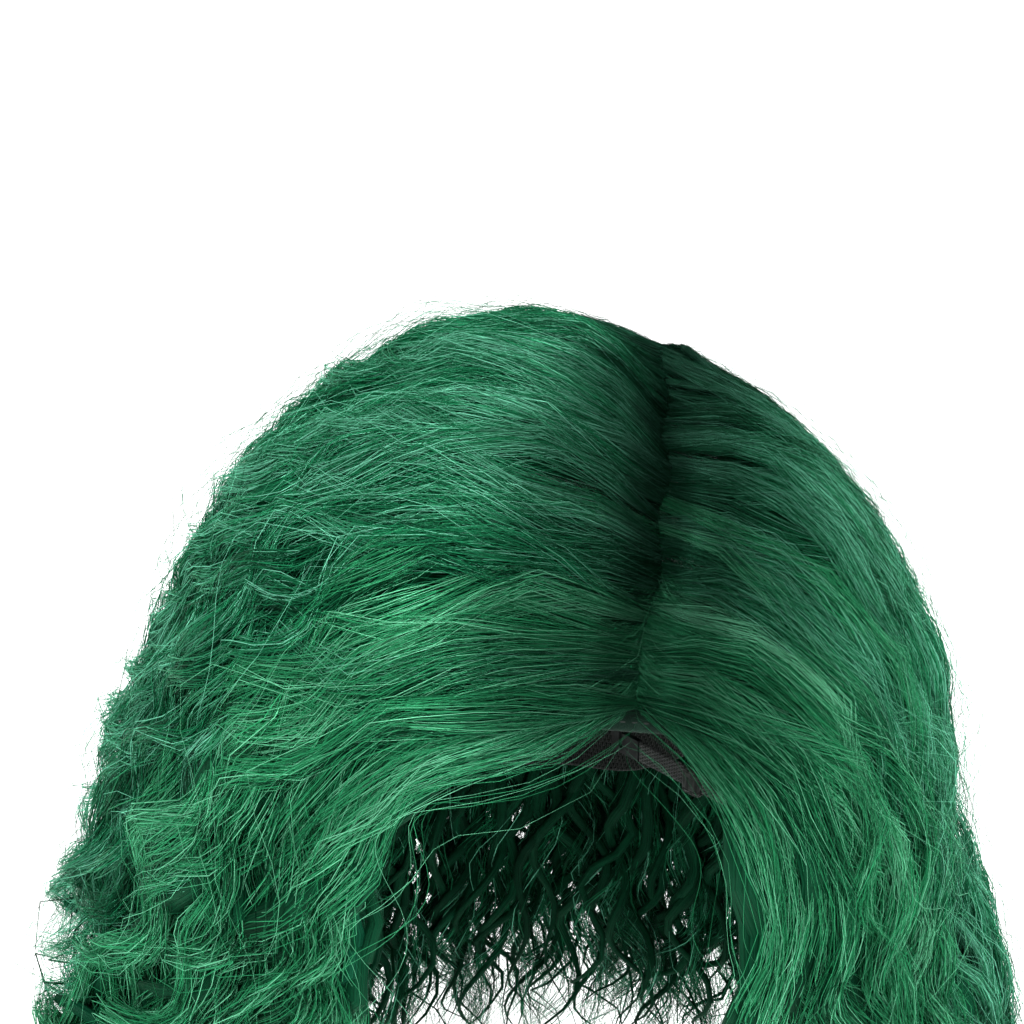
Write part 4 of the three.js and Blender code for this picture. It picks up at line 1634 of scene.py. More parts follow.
@dataclass
class Coiffure:
    """All the hair: locks grown, sorted by where they hang, and spun into fibres."""

    form: HairForm
    spinner: StrandSpinner
    wardrobe: Wardrobe
    hinge_rise: float = -0.045
    turn_above: float = 0.020
    turn_below: float = 0.022
    front_zone: float = -0.045
    back_zone: float = 0.045
    third: float = 0.051
    most_triangles: int = 160000
    core_rings: int = 26

    def zones(self, lines: Array) -> Array:
        """The zone that each lock hangs in, by its place at the hinge level.

        Args:
            lines: their centre lines.

        Returns:
            A zone for each lock.
        """
        gap = np.abs(lines[..., 2] - self.hinge_rise - 0.01)
        at = lines[np.arange(len(lines)), gap.argmin(1)]
        left = at[:, 0] > 0
        result = np.where(left, Zone.SIDE_LEFT, Zone.SIDE_RIGHT)
        result = np.where(at[:, 1] < self.front_zone, np.where(left, Zone.FACE_LEFT, Zone.FACE_RIGHT), result)
        back = at[:, 1] > self.back_zone
        sides = np.where(left, Zone.BACK_LEFT, Zone.BACK_RIGHT)
        return np.where(back, np.where(np.abs(at[:, 0]) < self.third, Zone.BACK_CENTRE, sides), result)

    def hang(self, shape: Shape, name: str, finish: str) -> bpy.types.Object:
        """Makes a piece of hair.

        Args:
            shape: its mesh.
            name: its name.
            finish: its finish in the wardrobe.

        Returns:
            The piece.
        """
        shape.points = shape.points + self.form.head.centre()
        piece = self.wardrobe.dress(shape.object(name), finish)
        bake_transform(piece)
        LOG.info("%s: %d triangles", name, shape.count)
        return piece

    def zone(self, zone: Zone, plan: LockPlan, lines: Array, rng: Chance) -> int:
        """Makes one zone's pieces and returns their triangles.

        Args:
            zone: the zone.
            plan: the locks.
            lines: their centre lines.
            rng: seeded chance.

        Returns:
            How many triangles its pieces have.
        """
        total, covered = 0, False
        for depth in Depth:
            rows = np.flatnonzero(plan.inner == (depth is Depth.INNER))
            each = depth.triangles
            so_far = np.cumsum(plan.strands[rows]) * each
            runs = max(1, math.ceil(plan.strands[rows].sum() * each / self.most_triangles))
            cuts = np.searchsorted(so_far, so_far[-1:] * np.arange(1, runs) / runs)
            for k, run in enumerate(np.split(rows, cuts)):
                if not len(run):
                    continue
                part = plan.only(run)
                frames = self.spinner.frames(part, lines[run], depth.value, rng)
                shape = self.spinner.fibres(part, frames, rng)
                finish = "hairline" if zone in (Zone.FACE_LEFT, Zone.FACE_RIGHT) else "fibre"
                piece = self.hang(shape, f"{zone.value}_{depth.name.lower()}_fibres_{k + 1}", finish)
                total += shape.count
                if not covered:
                    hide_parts(*ZONE_NODES[zone])
                    covered = True
        # the lock cores, in their darker finish as painted shade under the fibres
        full = np.flatnonzero(plan.strands > 1)
        plan, lines = plan.only(full), lines[full]
        frames = self.spinner.frames(plan, lines, self.core_rings, rng)
        shape = self.spinner.cores(plan, frames, rng)
        self.hang(shape, f"{zone.value}_locks", "lock")
        return total + shape.count

    def build(self, plan: LockPlan, lines: Array, rng: Chance) -> None:
        """Makes every zone's fibres and lock cores.

        Args:
            plan: the locks.
            lines: their centre lines.
            rng: seeded chance.
        """
        zones = self.zones(lines)
        total = 0
        for zone in Zone:
            rows = np.flatnonzero(zones == zone)
            total += self.zone(zone, plan.only(rows), lines[rows], rng)
        LOG.info("hair: %d locks, %d fibres, %d triangles", len(lines), plan.strands.sum(), total)


# --- cap


CAP_BANDS = ("front_hairline_band", "ear_band_left", "ear_band_right", "nape_band")


@dataclass
class CapForm:
    """The surface that the cap's cloth lies on, with the cap's edge read from the frame's bands."""

    head: HeadForm = field(default_factory=HeadForm)
    band: float = 0.0008
    net: float = 0.0006
    ribbon: float = 0.0008
    weft: float = 0.0014
    room: float = 0.0011
    overlap: float = 0.006
    turns: Array = field(default_factory=lambda: np.zeros(0))
    drops: Array = field(default_factory=lambda: np.zeros(0))

    def __post_init__(self) -> None:
        """Finds the lowest point of the bands' inner face at each turn round the head."""
        lowest = {}
        for name in CAP_BANDS:
            points = np.array([v.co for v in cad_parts[name].data.vertices]) - self.head.centre()
            x, y = points[:, 0] / self.head.half_width, -points[:, 1] / self.head.half_length
            z = points[:, 2] / self.head.rise
            flat = np.hypot(x, y)
            inner = np.abs(np.hypot(flat, z) - 1) < 0.003
            for turn, drop in zip(np.arctan2(x, y)[inner], np.arctan2(flat, z)[inner]):
                key = round(turn, 3)
                lowest[key] = max(drop, lowest.get(key, 0))
        turns = np.array(sorted(lowest))
        drops = np.array([lowest[key] for key in turns])
        self.turns = np.concatenate([turns - 2 * math.pi, turns, turns + 2 * math.pi])
        self.drops = np.tile(drops, 3)

    @property
    def net_lift(self) -> float:
        """The net's height above the head."""
        return self.band + self.room

    @property
    def ribbon_lift(self) -> float:
        """The ribbons' height above the head."""
        return self.net_lift + self.net + self.room

    @property
    def weft_lift(self) -> float:
        """The wefts' height above the head."""
        return self.ribbon_lift + self.ribbon + self.room

    def rim(self, turn: Array) -> Array:
        """The drop of the cap's edge at a turn."""
        around = np.mod(np.asarray(turn) + math.pi, 2 * math.pi) - math.pi
        return np.interp(around, self.turns, self.drops)

    def drop_of(self, length: float) -> float:
        """The angle that a length down the head spans."""
        return 2 * length / (self.head.half_length + self.head.rise)

    def turn_of(self, length: float, drop: Array | float) -> Array | float:
        """The angle that a length round the head spans at a drop."""
        return 2 * length / ((self.head.half_width + self.head.half_length) * np.sin(drop))

    def point(self, turn: Array, drop: Array, lift: Array | float) -> Array:
        """Places at a turn from the face, a drop from the crown and a lift off the head, in the frame.

        Args:
            turn: turns round the head.
            drop: drops from the crown.
            lift: heights off the head.

        Returns:
            (..., 3) places.
        """
        sine = np.sin(drop)
        x = (self.head.half_width + lift) * sine * np.sin(turn)
        y = -(self.head.half_length + lift) * sine * np.cos(turn)
        z = (self.head.rise + lift) * np.cos(drop)
        return np.stack(np.broadcast_arrays(x, y, z), -1) + self.head.centre()

    def outward(self, points: Array) -> Array:
        """The direction away from the head at points in the frame."""
        axes = np.array([self.head.half_width, self.head.half_length, self.head.rise])
        return unit((points - self.head.centre()) / axes**2)

    def over_top(self, lean: Array, y: Array, lift: Array) -> Array:
        """Places over the top of the head at a lean from upright and a distance back from its middle.

        Args:
            lean: leans from upright.
            y: places front to back.
            lift: heights off the head.

        Returns:
            (..., 3) places in the frame.
        """
        share = y / (self.head.half_length + lift)
        around = np.sqrt(1 - share**2)
        x = (self.head.half_width + lift) * around * np.sin(lean)
        z = (self.head.rise + lift) * around * np.cos(lean)
        return np.stack(np.broadcast_arrays(x, y, z), -1) + self.head.centre()


@dataclass
class Sewing:
    """Makes and hands over the cap's pieces."""

    wardrobe: Wardrobe

    def add(
        self,
        shape: Shape,
        name: str,
        finish: str,
        slot: str,
        body: str = CAP,
        node: str = "",
        cloth: bool = True,
    ) -> bpy.types.Object:
        """Makes a piece that rides on a body.

        Args:
            shape: its mesh.
            name: its name.
            finish: its finish in the wardrobe.
            slot: the record's material slot; not used.
            body: the body that it rides on.
            node: the CAD node that it stands for, if any.
            cloth: whether its map is in metres over cloth, not the fibre palette.

        Returns:
            The piece.
        """
        piece = self.wardrobe.dress(shape.object(name, CLOTH_MAP if cloth else PALETTE_MAP), finish)
        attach(piece, body)
        if node:
            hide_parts(node)
        LOG.info("%s: %d triangles", name, shape.count)
        return piece


@dataclass
class CapBands:
    """The bands along the cap's edge, hemmed and stitched along both sides."""

    form: CapForm
    sewing: Sewing
    front_reach: float = math.radians(81)
    ear_reach: float = math.radians(112)
    seam: float = 0.0005
    hem: float = 0.003
    widths: dict = field(default_factory=lambda: {"front": 0.022, "ear": 0.012, "nape": 0.018})

    def band(self, name: str, turns: tuple[float, float], width: float, finish: str, slot: str) -> None:
        """Makes one band and the two rows of stitches along it.

        Args:
            name: its name.
            turns: where it starts and ends.
            width: its width.
            finish: its finish in the wardrobe.
            slot: the record's material slot.
        """
        form = self.form
        long = abs(turns[1] - turns[0]) * (form.head.half_width + form.head.half_length) / 2

        def at(u: Array, v: Array, lift: Array) -> Array:
            """A place on the band."""
            turn = turns[0] + (turns[1] - turns[0]) * u
            low = form.rim(turn)
            return form.point(turn, low - form.drop_of(width) * (1 - v), lift)

        relief = hems(self.hem, width, 0.0003)
        steps = (max(12, int(long / 0.0035)), max(14, int(width / 0.0011)))
        cloth = Cloth(at, form.band, (long, width), steps, relief)
        self.sewing.add(cloth.shape(), f"{name}_cloth", finish, slot, node=name)
        rows = []
        for share in (0.8 * self.hem / width, 1 - 0.8 * self.hem / width):
            u = np.linspace(0.004, 0.996, 240)
            line = at(u, np.full_like(u, share), np.full_like(u, form.band))
            rows.append(stitches(line, form.outward(line)))
        self.sewing.add(Shape.join(rows), f"{name}_stitches", "thread", slot, cloth=False)

    def build(self) -> None:
        """Makes the four bands."""
        front = (-self.front_reach, self.front_reach)
        self.band("front_hairline_band", front, self.widths["front"], "velvet", "velvet")
        gap = self.form.turn_of(self.seam, math.pi / 2)
        for hand in Hand:
            turns = (hand.value * (self.front_reach + gap), hand.value * self.ear_reach)
            self.band(f"ear_band_{hand.word}", turns, self.widths["ear"], "band", "elastic")
        nape = self.ear_reach + gap
        self.band("nape_band", (nape, 2 * math.pi - nape), self.widths["nape"], "band", "elastic")


@dataclass
class CrownNet:
    """The stretch net: two families of crossing threads over the dome, with a hem sewn to the bands."""

    form: CapForm
    sewing: Sewing
    pitch: float = 0.0034
    thread: float = 0.00022
    slants: tuple = (math.radians(47), math.radians(-47))
    rings: int = 30
    samples: int = 600
    fewest: int = 12
    hem: float = 0.005
    hem_length: float = 0.27
    end_gap: float = 0.002

    def threads(self, slant: float) -> Array:
        """One family's threads, as straight lines over the unrolled dome.

        Args:
            slant: the angle of the threads from side to side.

        Returns:
            (threads, rings, 3) places.
        """
        along = np.array([math.cos(slant), math.sin(slant)])
        aside = np.array([-math.sin(slant), math.cos(slant)])
        reach = float(self.form.drops.max())
        step = self.form.drop_of(self.pitch)
        paths = []
        for offset in np.arange(-reach, reach, step):
            at = np.linspace(-reach, reach, self.samples)
            flat = at[:, None] * along + offset * aside
            drop = np.hypot(flat[:, 0], flat[:, 1])
            turn = np.arctan2(flat[:, 0], flat[:, 1])
            inside = drop < self.form.rim(turn) - self.form.drop_of(self.form.overlap)
            change = np.flatnonzero(np.diff(np.concatenate([[0], inside.astype(int), [0]])))
            for first, last in zip(change[::2], change[1::2]):
                if last - first < self.fewest:
                    continue
                spot = np.linspace(at[first], at[last - 1], self.rings)
                flat = spot[:, None] * along + offset * aside
                drop = np.hypot(flat[:, 0], flat[:, 1])
                turn = np.arctan2(flat[:, 0], flat[:, 1])
                weave = 0.5 + 0.5 * np.sign(slant) * np.cos(np.arange(self.rings) * math.pi)
                lift = self.form.net_lift + self.thread + weave * (self.form.net - 2 * self.thread)
                paths.append(self.form.point(turn, drop, lift))
        return np.stack(paths)

    def build(self) -> None:
        """Makes the net and its hem."""
        paths = np.concatenate([self.threads(slant) for slant in self.slants])
        wide = np.full(paths.shape[:2], self.thread)
        shape = Tubes(4).shape(paths, wide, np.full(len(paths), 0.5))
        self.sewing.add(shape, "crown_net_threads", "net", "net", node="crown_net", cloth=False)
        form = self.form

        def at(u: Array, v: Array, lift: Array) -> Array:
            """A place on the net's hem."""
            turn = 2 * math.pi * u
            drop = form.rim(turn) - form.drop_of(form.overlap + self.hem * (1 - v))
            return form.point(turn, drop, form.net_lift + lift)

        for hand in Hand:
            start = 0.0 if hand is Hand.LEFT else 0.5

            def half(u: Array, v: Array, lift: Array, start: float = start) -> Array:
                """A place on this side's half of the hem, a little short of both ends."""
                return at(start + self.end_gap + (0.5 - 2 * self.end_gap) * u, v, lift)

            edges = hems(0.0008, self.hem, 0.0001)
            cloth = Cloth(half, form.net, (self.hem_length, self.hem), (90, 6), edges)
            self.sewing.add(cloth.shape(), f"crown_net_hem_{hand.word}", "band", "net")


@dataclass
class Ribbons:
    """The elastic ribbons down the back of the net, ribbed the long way."""

    form: CapForm
    sewing: Sewing
    width: float = 0.010
    start: float = math.radians(38)
    turns: dict = field(
        default_factory=lambda: {"centre": 180, "left": 146, "right": 214, "ear_left": 116, "ear_right": 244}
    )

    def build(self) -> None:
        """Makes every ribbon."""
        form = self.form
        for place, degrees in self.turns.items():
            middle = math.radians(degrees)
            hem = float(form.rim(middle)) - form.drop_of(form.overlap)
            long = (hem - self.start) * (form.head.half_length + form.head.rise) / 2

            def at(u: Array, v: Array, lift: Array) -> Array:
                """A place on the ribbon."""
                drop = self.start + (hem - self.start) * v
                turn = middle + (u - 0.5) * form.turn_of(self.width, drop)
                return form.point(turn, drop, form.ribbon_lift + lift)

            cloth = Cloth(at, form.ribbon * 0.75, (self.width, long), (48, 30), ribs(8, 0.0002))
            node = f"ribbon_{place}"
            self.sewing.add(cloth.shape(), f"{node}_cloth", "ribbon", "elastic", node=node)


@dataclass
class Wefts:
    """The rows of wefting: fibre folded over a sewn track, with its tufts side by side."""

    form: CapForm
    sewing: Sewing
    height: float = 0.003
    tuft: float = 0.0022

    def row(self, name: str) -> None:
        """Makes one row where its CAD piece lies.

        Args:
            name: its name.
        """
        form = self.form
        points = np.array([v.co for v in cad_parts[name].data.vertices]) - form.head.centre()
        axes = np.array([form.head.half_width, form.head.half_length, form.head.rise]) + form.weft_lift
        scaled = points / axes
        flat = np.hypot(scaled[:, 0], scaled[:, 1])
        inner = np.abs(np.linalg.norm(scaled, axis=1) - 1) < 0.004
        turn = np.mod(np.arctan2(scaled[:, 0], -scaled[:, 1]), 2 * math.pi)[inner]
        drop = np.arctan2(flat, scaled[:, 2])[inner]
        keys = np.round(turn, 3)
        turns = np.unique(keys)
        tops = np.array([drop[keys == key].min() for key in turns])
        radius = (form.head.half_width + form.head.half_length) / 2 * np.sin(tops.mean())
        long = (turns[-1] - turns[0]) * radius

        def at(u: Array, v: Array, lift: Array) -> Array:
            """A place on the track."""
            around = turns[0] + (turns[-1] - turns[0]) * u
            drop = np.interp(around, turns, tops) + form.drop_of(self.height) * v
            return form.point(around, drop, form.weft_lift + lift)

        tufts = max(8, int(long / self.tuft))

        def raised(u: Array, v: Array) -> Array:
            """How proud the tufts stand over the two sewn lines."""
            lobes = np.abs(np.sin(math.pi * tufts * u)) ** 0.6
            seams = np.exp(-(((v - 0.3) / 0.07) ** 2)) + np.exp(-(((v - 0.72) / 0.07) ** 2))
            return 0.0005 * lobes * (1 - 0.6 * seams)

        cloth = Cloth(at, form.weft * 0.65, (float(long), self.height), (tufts * 4, 12), raised, edge=0.0006)
        self.sewing.add(cloth.shape(), f"{name}_track", "track", "weft", node=name)

    def build(self) -> None:
        """Makes every row that the frame has."""
        for name in sorted(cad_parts):
            if "_weft_" in name:
                self.row(name)


@dataclass
class PartingBase:
    """The skin-look strip under the parting, with a knot where each tuft of hair is tied in."""

    form: CapForm
    sewing: Sewing
    width: float = 0.026
    length: float = 0.118
    lean: float = math.radians(15.5)
    inset: float = 0.006
    knots: int = 44
    rows: int = 7
    seed: int = 31
    knot_height: float = 0.0016
    knot_radius: float = 0.0003
    knot_taper: tuple = (1.1, 1.0, 0.8, 0.6, 0.4)

    def build(self) -> None:
        """Makes the strip and its knots."""
        form = self.form
        front = -form.head.half_length * math.sin(float(form.rim(0.0))) + self.inset
        half = self.width / 2 / form.head.rise

        def at(u: Array, v: Array, lift: Array) -> Array:
            """A place on the strip."""
            y = front + self.length * u
            return form.over_top(self.lean + half * (2 * v - 1), y, form.ribbon_lift + lift)

        edges = hems(0.0015, self.width, 0.0001)
        cloth = Cloth(at, form.ribbon * 0.8, (self.length, self.width), (60, 22), edges)
        self.sewing.add(cloth.shape(), "parting_film", "film", "scalp", node="parting_base")
        rng = np.random.default_rng(self.seed)
        count = self.knots * self.rows
        u = (np.arange(count) // self.rows + rng.uniform(0.2, 0.8, count)) / self.knots
        v = 0.2 + 0.6 * (np.arange(count) % self.rows + rng.uniform(0.3, 0.7, count)) / self.rows
        foot = at(u, v, np.full(count, form.ribbon * 0.5))
        out = form.outward(foot)
        reach = np.linspace(0, 1, len(self.knot_taper))[None, :, None]
        lean = rng.normal(0, 0.5, (count, 3))
        path = foot[:, None, :] + (out + lean)[:, None, :] * self.knot_height * reach
        wide = np.broadcast_to(self.knot_radius * np.array(self.knot_taper), path.shape[:2])
        shape = Tubes(5).shape(path, wide, rng.uniform(0.2, 0.5, count))
        self.sewing.add(shape, "parting_knots", "fibre", "hair", cloth=False)


@dataclass
class EarTab:
    """A velvet tab in front of an ear, bound round its edge, on a sewn fold."""

    form: CapForm
    sewing: Sewing
    hand: Hand
    middle: float = math.radians(84)
    width: float = 0.022
    length: float = 0.034
    gap: float = 0.0015
    fold: float = 0.006

    def top(self) -> float:
        """The drop of the tab's upper edge, below the cap's edge over its whole width."""
        reach = self.form.turn_of(self.width / 2, math.pi / 2)
        shares = np.array([-1, -0.5, 0, 0.5, 1])
        turns = self.hand.value * self.middle + shares * reach
        return float(self.form.rim(turns).max()) + self.form.drop_of(self.gap)

    def place(self, u: Array, v: Array, lift: Array, start: float, end: float, narrowing: float) -> Array:
        """A place on the tab, or on cloth that goes on above it, from start to end down its length.

        Args:
            u: shares across.
            v: shares down.
            lift: heights off the head.
            start: the length down the tab where v is 0.
            end: the same where v is 1.
            narrowing: share of the width, squared, gone at the tab's end.

        Returns:
            (..., 3) places in the frame.
        """
        down = start + (end - start) * v
        share = np.clip(down / self.length, 0, 1)
        narrow = np.sqrt(1 - narrowing * share**2)
        turn = self.hand.value * self.middle + (u - 0.5) * self.form.turn_of(self.width, math.pi / 2) * narrow
        return self.form.point(turn, self.top() + self.form.drop_of(1.0) * down, lift)

    def build(self) -> None:
        """Makes the tab, its stitches and its fold, and dresses its stay."""
        form, word = self.form, self.hand.word
        body = f"ear_tab_{word}"

        def tab(u: Array, v: Array, lift: Array) -> Array:
            """A place on the tab."""
            return self.place(u, v, lift, 0.0, self.length, 0.75)

        def binding(u: Array, v: Array) -> Array:
            """Relief of the tape bound round the tab's edge."""
            from_side = np.minimum(u, 1 - u) * self.width
            from_end = (1 - v) * self.length
            away = np.minimum(from_side, from_end)
            return 0.0003 * (1 - smooth((away - 0.002) / 0.0005))

        cloth = Cloth(tab, form.band, (self.width, self.length), (26, 40), binding)
        self.sewing.add(cloth.shape(), f"ear_tab_{word}_cloth", "velvet", "velvet", body, f"ear_tab_{word}")
        v = np.linspace(0.03, 0.93, 80)
        rows = []
        for side in (0.055, 0.945):
            line = tab(np.full_like(v, side), v, np.full_like(v, form.band + 0.0003))
            rows.append(stitches(line, form.outward(line), 0.0026))
        self.sewing.add(Shape.join(rows), f"ear_tab_{word}_stitches", "thread", "velvet", body, cloth=False)
        self.dress_stay(body)

        def joined(u: Array, v: Array, lift: Array) -> Array:
            """A place on the fold's tape."""
            return self.place(u, v, form.band + 0.0001 + lift, -self.fold - self.gap, self.fold, 0.0)

        long = 2 * self.fold + self.gap
        tape = Cloth(joined, 0.0003, (self.width, long), (20, 16), hems(0.001, long, 0.00008))
        shape = tape.shape()
        name = f"ear_tab_{word}_fold"
        piece = self.sewing.wardrobe.dress(shape.object(name, CLOTH_MAP), "velvet")
        hinge = form.point(self.hand.value * self.middle, self.top() - form.drop_of(self.gap / 2), 0.0)
        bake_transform(piece)
        LOG.info("%s: %d triangles", name, shape.count)

    def dress_stay(self, body: str) -> None:
        """Gives the tab's metal stay its finish."""
        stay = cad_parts[f"ear_tab_stay_{self.hand.word}"]
        self.sewing.wardrobe.dress(stay, "steel")
        LOG.info("%s: stays as the frame has it, on %s", stay.name, body)


@dataclass
class Adjuster:
    """A strap with its hook that slides through a keeper towards the loops on the nape."""

    form: CapForm
    sewing: Sewing
    hand: Hand
    lean: float = math.radians(42)
    strap: tuple = (0.038, 0.008, 0.001)
    keeper: float = 0.007
    keeper_depth: float = 0.0043
    keeper_squareness: float = 0.35
    keeper_steps: tuple = (48, 12)
    passage: tuple = (0.0019, 0.00095, 0.0045)
    map_step: float = 0.0005
    drop: float = 0.047
    tape: tuple = (0.026, 0.009, 0.0008)
    loops: int = 4

    def middle_of(self, node: str) -> Array:
        """The middle of a CAD piece."""
        low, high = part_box(node)
        return np.array((low + high) / 2)

    def axes(self) -> tuple:
        """Directions along the strap outwards, through it towards the band, and up."""
        side = self.hand.value
        along = np.array([side * math.cos(self.lean), -math.sin(self.lean), 0.0])
        through = np.array([side * math.sin(self.lean), math.cos(self.lean), 0.0])
        return along, through, np.array([0.0, 0.0, 1.0])

    def make_strap(self) -> None:
        """Makes the ribbed elastic strap."""
        long, wide, thick = self.strap
        along, through, up = self.axes()
        middle = self.middle_of(f"adjuster_strap_{self.hand.word}")

        def at(u: Array, v: Array, lift: Array) -> Array:
            """A place on the strap."""
            away = (lift - thick / 2)[..., None] * through
            return middle + away + ((u - 0.5) * wide)[..., None] * up + ((v - 0.5) * long)[..., None] * along

        cloth = Cloth(at, thick * 0.8, (wide, long), (36, 40), ribs(7, 0.00018))
        word = self.hand.word
        node = f"adjuster_strap_{word}"
        self.sewing.add(cloth.shape(), f"{node}_cloth", "ribbon", "elastic", f"adjuster_{word}", node)

    def squared(self, values: Array) -> Array:
        """Cosines or sines bent towards a rounded square."""
        return np.sign(values) * np.abs(values) ** self.keeper_squareness

    def make_keeper(self) -> None:
        """Makes the sewn tunnel that the strap runs through, with its pad towards the band."""
        shift_in, half_deep, half_tall = self.passage
        along, through, up = self.axes()
        word = self.hand.word
        node = f"strap_keeper_{word}"
        middle = self.middle_of(node)
        low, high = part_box(node)
        tall = (high.z - low.z) / 2
        passage = middle - through * shift_in
        steps, rings = self.keeper_steps
        turn = 2 * math.pi * np.arange(steps) / steps
        round_x, round_z = self.squared(np.cos(turn)), self.squared(np.sin(turn))
        inner = passage + (round_x * half_deep)[:, None] * through + (round_z * half_tall)[:, None] * up
        outer = middle + (round_x * self.keeper_depth)[:, None] * through + (round_z * tall)[:, None] * up
        across = np.linspace(0, 1, rings)
        rounding = np.sqrt(np.clip(1 - (2 * across - 1) ** 8, 0, 1)) * 0.2 + 0.8
        rows = [0.02 * np.exp(-(((across - at) / 0.05) ** 2)) for at in (0.15, 0.85)]
        sew = 1 - rows[0] - rows[1]
        shell = middle + (outer - middle)[:, None, :] * (rounding * sew)[None, :, None]
        core = np.broadcast_to(inner[:, None, :], shell.shape)
        shift = ((across - 0.5) * self.keeper)[None, :, None] * along
        points = np.concatenate([(shell + shift), (core + shift)[:, ::-1]], axis=1)
        total = points.shape[1]
        number = np.arange(steps * total).reshape(steps, total)
        nxt, down = np.roll(number, -1, 0), np.roll(number, -1, 1)
        quads = np.stack([number, nxt, np.roll(nxt, -1, 1), down], -1).reshape(-1, 4)
        places = points.reshape(-1, 3)
        quads = quads[:, ::-1] if inside_out(places, quads, middle) else quads
        grid = np.stack(np.meshgrid(np.arange(steps), np.arange(total), indexing="ij"), -1)
        grid = (grid * self.map_step).reshape(-1, 2)
        shape = Shape(places, quads, np.zeros((0, 3), int), grid[quads.ravel()])
        self.sewing.add(shape, f"{node}_cloth", "band", "elastic", node=node)

    def make_tape(self) -> None:
        """Makes the tape inside the nape band, with its row of raised loops."""
        form, word = self.form, self.hand.word
        long, wide, thick = self.tape
        angle = math.acos(-self.drop / form.head.rise)
        span = form.turn_of(long, angle)
        middle = math.pi - self.hand.value * (span + form.turn_of(0.0003, angle)) / 2

        def at(u: Array, v: Array, lift: Array) -> Array:
            """A place on the tape's face that looks into the cap."""
            turn = middle + (u - 0.5) * span
            drop = angle + (v - 0.5) * form.drop_of(wide)
            return form.point(turn, drop, -0.0003 - lift)

        node = f"loop_tape_{word}"
        cloth = Cloth(at, thick, (long, wide), (50, 18), hems(0.001, wide, 0.0001))
        self.sewing.add(cloth.shape(), f"{node}_cloth", "band", "elastic", node=node)
        loops = []
        for k in range(self.loops):
            centre = (k + 0.25) / self.loops
            across = np.linspace(-0.09, 0.09, 7)[:, None] + centre
            down = np.linspace(0.12, 0.88, 17)[None, :]
            rise = 0.0014 * np.sqrt(np.clip(np.sin(math.pi * (down - 0.12) / 0.76), 0, 1))
            path = at(across + 0 * down, down + 0 * across, thick - 0.0001 + rise + 0 * across)
            loops.append(Tubes(4).shape(path, np.full(path.shape[:2], 0.0003), np.full(len(path), 0.5)))
        self.sewing.add(Shape.join(loops), f"{node}_loops", "thread", "elastic", cloth=False)

    def build(self) -> None:
        """Makes the strap, keeper and tape, and dresses the hook."""
        self.make_strap()
        self.make_keeper()
        self.make_tape()
        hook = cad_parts[f"adjuster_hook_{self.hand.word}"]
        self.sewing.wardrobe.dress(hook, "plastic")
        LOG.info("%s: stays as the frame has it", hook.name)


# --- studio


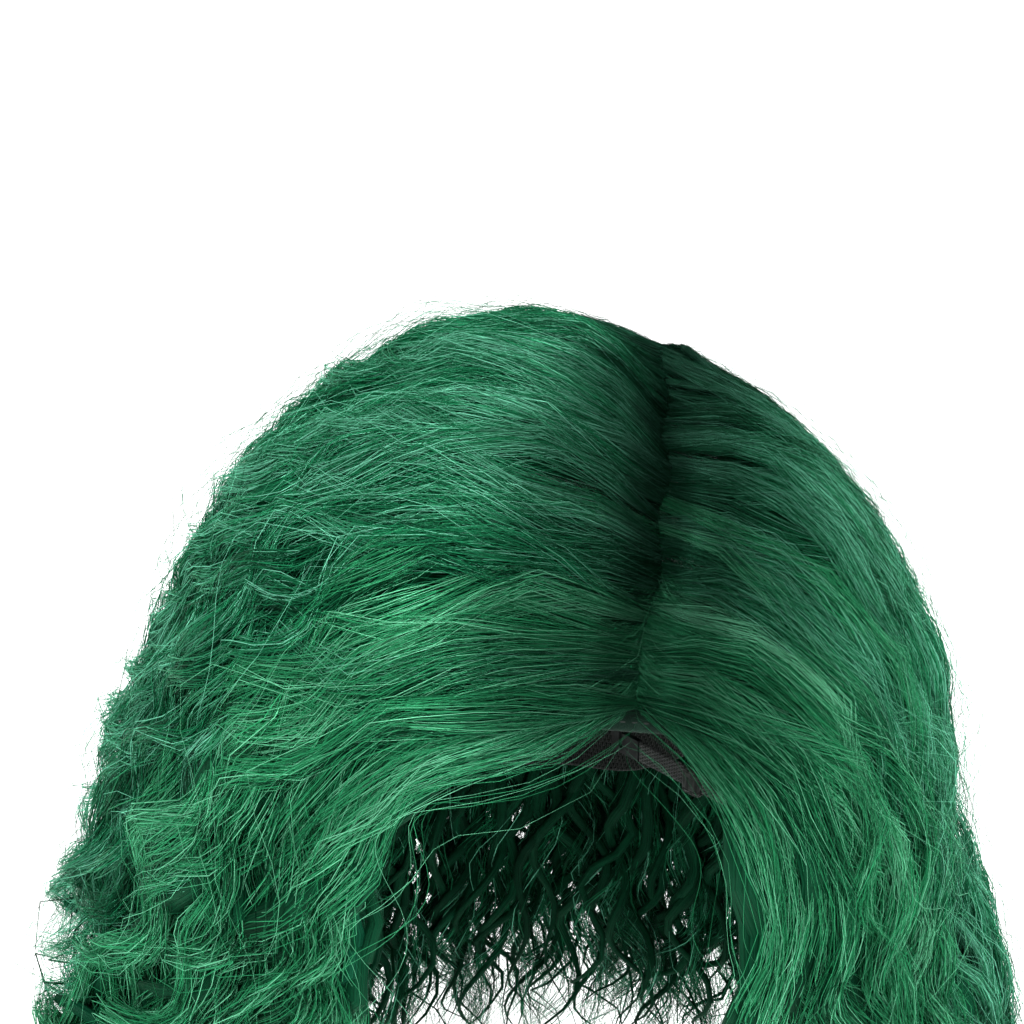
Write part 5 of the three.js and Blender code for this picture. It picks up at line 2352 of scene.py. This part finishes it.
@dataclass
class Studio:
    """The camera, the lights and the pale floor."""

    form: HairForm
    elevation: float = math.radians(31)
    distance: float = 0.703
    lens: float = 85.0
    aim_up: float = 0.069
    aim_left: float = 0.0105
    floor_gap: float = 0.022
    floor_reach: float = 40.0
    floor_glow: float = 0.6
    lamps: tuple = (
        ("key", (-0.8, -0.9, 1.2), 0.7, 34),
        ("fill", (1.1, -0.8, 0.9), 0.9, 22),
        ("top", (0.1, 0.7, 1.5), 0.8, 26),
    )
    sky: float = 0.4

    def camera(self) -> None:
        """Places the camera above the front, looking down."""
        data = bpy.data.cameras.new("camera")
        data.lens = self.lens
        cam = bpy.data.objects.new("camera", data)
        bpy.context.scene.collection.objects.link(cam)
        view = Vector((0, math.cos(self.elevation), -math.sin(self.elevation)))
        up = Vector((0, math.sin(self.elevation), math.cos(self.elevation)))
        aim = Vector(self.form.head.centre()) + up * self.aim_up - Vector((1, 0, 0)) * self.aim_left
        cam.location = aim - view * self.distance
        cam.rotation_euler = (math.pi / 2 - self.elevation, 0, 0)
        bpy.context.scene.camera = cam

    def light(self, name: str, place: tuple, size: float, power: float) -> None:
        """A soft square light aimed at the wig.

        Args:
            name: its name.
            place: where it stands.
            size: its side.
            power: its watts.
        """
        data = bpy.data.lights.new(name, "AREA")
        data.size = size
        data.energy = power
        lamp = bpy.data.objects.new(name, data)
        lamp.location = place
        to = Vector((0, 0, -0.1)) - Vector(place)
        lamp.rotation_euler = to.to_track_quat("-Z", "Y").to_euler()
        bpy.context.scene.collection.objects.link(lamp)

    def floor(self) -> None:
        """A plain pale floor just under the hair."""
        low = CAD_BOX[0].z - self.floor_gap
        corners = [(-1, -1), (1, -1), (1, 1), (-1, 1)]
        points = np.array([(x * self.floor_reach, y * self.floor_reach, low) for x, y in corners])
        shape = Shape(points, np.array([[0, 1, 2, 3]]), np.zeros((0, 3), int), points[:, :2])
        floor = shape.object("floor", CLOTH_MAP)
        material, _, shader = start_material("floor", 0.8, 0.3)
        shader.inputs["Base Color"].default_value = (0.9, 0.9, 0.9, 1)
        shader.inputs["Emission Color"].default_value = (1, 1, 1, 1)
        shader.inputs["Emission Strength"].default_value = self.floor_glow
        floor.data.materials.append(material)

    def build(self) -> None:
        """Sets up the view, the light and the floor."""
        self.camera()
        for lamp in self.lamps:
            self.light(*lamp)
        world = bpy.data.worlds.new("studio")
        bpy.context.scene.world = world
        world.use_nodes = True
        background = world.node_tree.nodes["Background"]
        background.inputs["Color"].default_value = (1, 1, 1, 1)
        background.inputs["Strength"].default_value = self.sky
        bpy.context.scene.view_settings.view_transform = "Standard"
        self.floor()


def dress_cap(wardrobe: Wardrobe) -> None:
    """Builds every piece of the cap, from its edge inwards.

    Args:
        wardrobe: the finishes.
    """
    cap = CapForm()
    sewing = Sewing(wardrobe)
    CapBands(cap, sewing).build()
    CrownNet(cap, sewing).build()
    Ribbons(cap, sewing).build()
    Wefts(cap, sewing).build()
    PartingBase(cap, sewing).build()
    for hand in Hand:
        EarTab(cap, sewing, hand).build()
        Adjuster(cap, sewing, hand).build()


def main() -> None:
    """Builds the wig: the view first, then the hair, then the cap under it."""
    logging.basicConfig(level=logging.INFO)
    form = HairForm()
    Studio(form).build()
    wardrobe = Wardrobe()
    rng = np.random.default_rng(7)
    window, parting = FaceWindow(), Parting(form)
    sides = [parting.side(hand, rng) for hand in (Hand.RIGHT, Hand.LEFT)]
    grown = LockPlan.join([*sides, parting.crown(rng), parting.tufts(rng), WeftFall(form).fall(rng)])
    grower = LockGrower(form, window)
    grown_lines = grower.grow(grown)
    frames = [FaceFrame(form, window, parting).fall(hand, rng) for hand in (Hand.RIGHT, Hand.LEFT)]
    plan = LockPlan.join([grown, *[part for part, _ in frames]])
    lines = np.concatenate([grown_lines, *[line for _, line in frames]])
    lines = grower.cut(plan, lines, rng)
    Coiffure(form, StrandSpinner(form), wardrobe).build(plan, lines, rng)
    dress_cap(wardrobe)


if __name__ == "__main__":
    main()
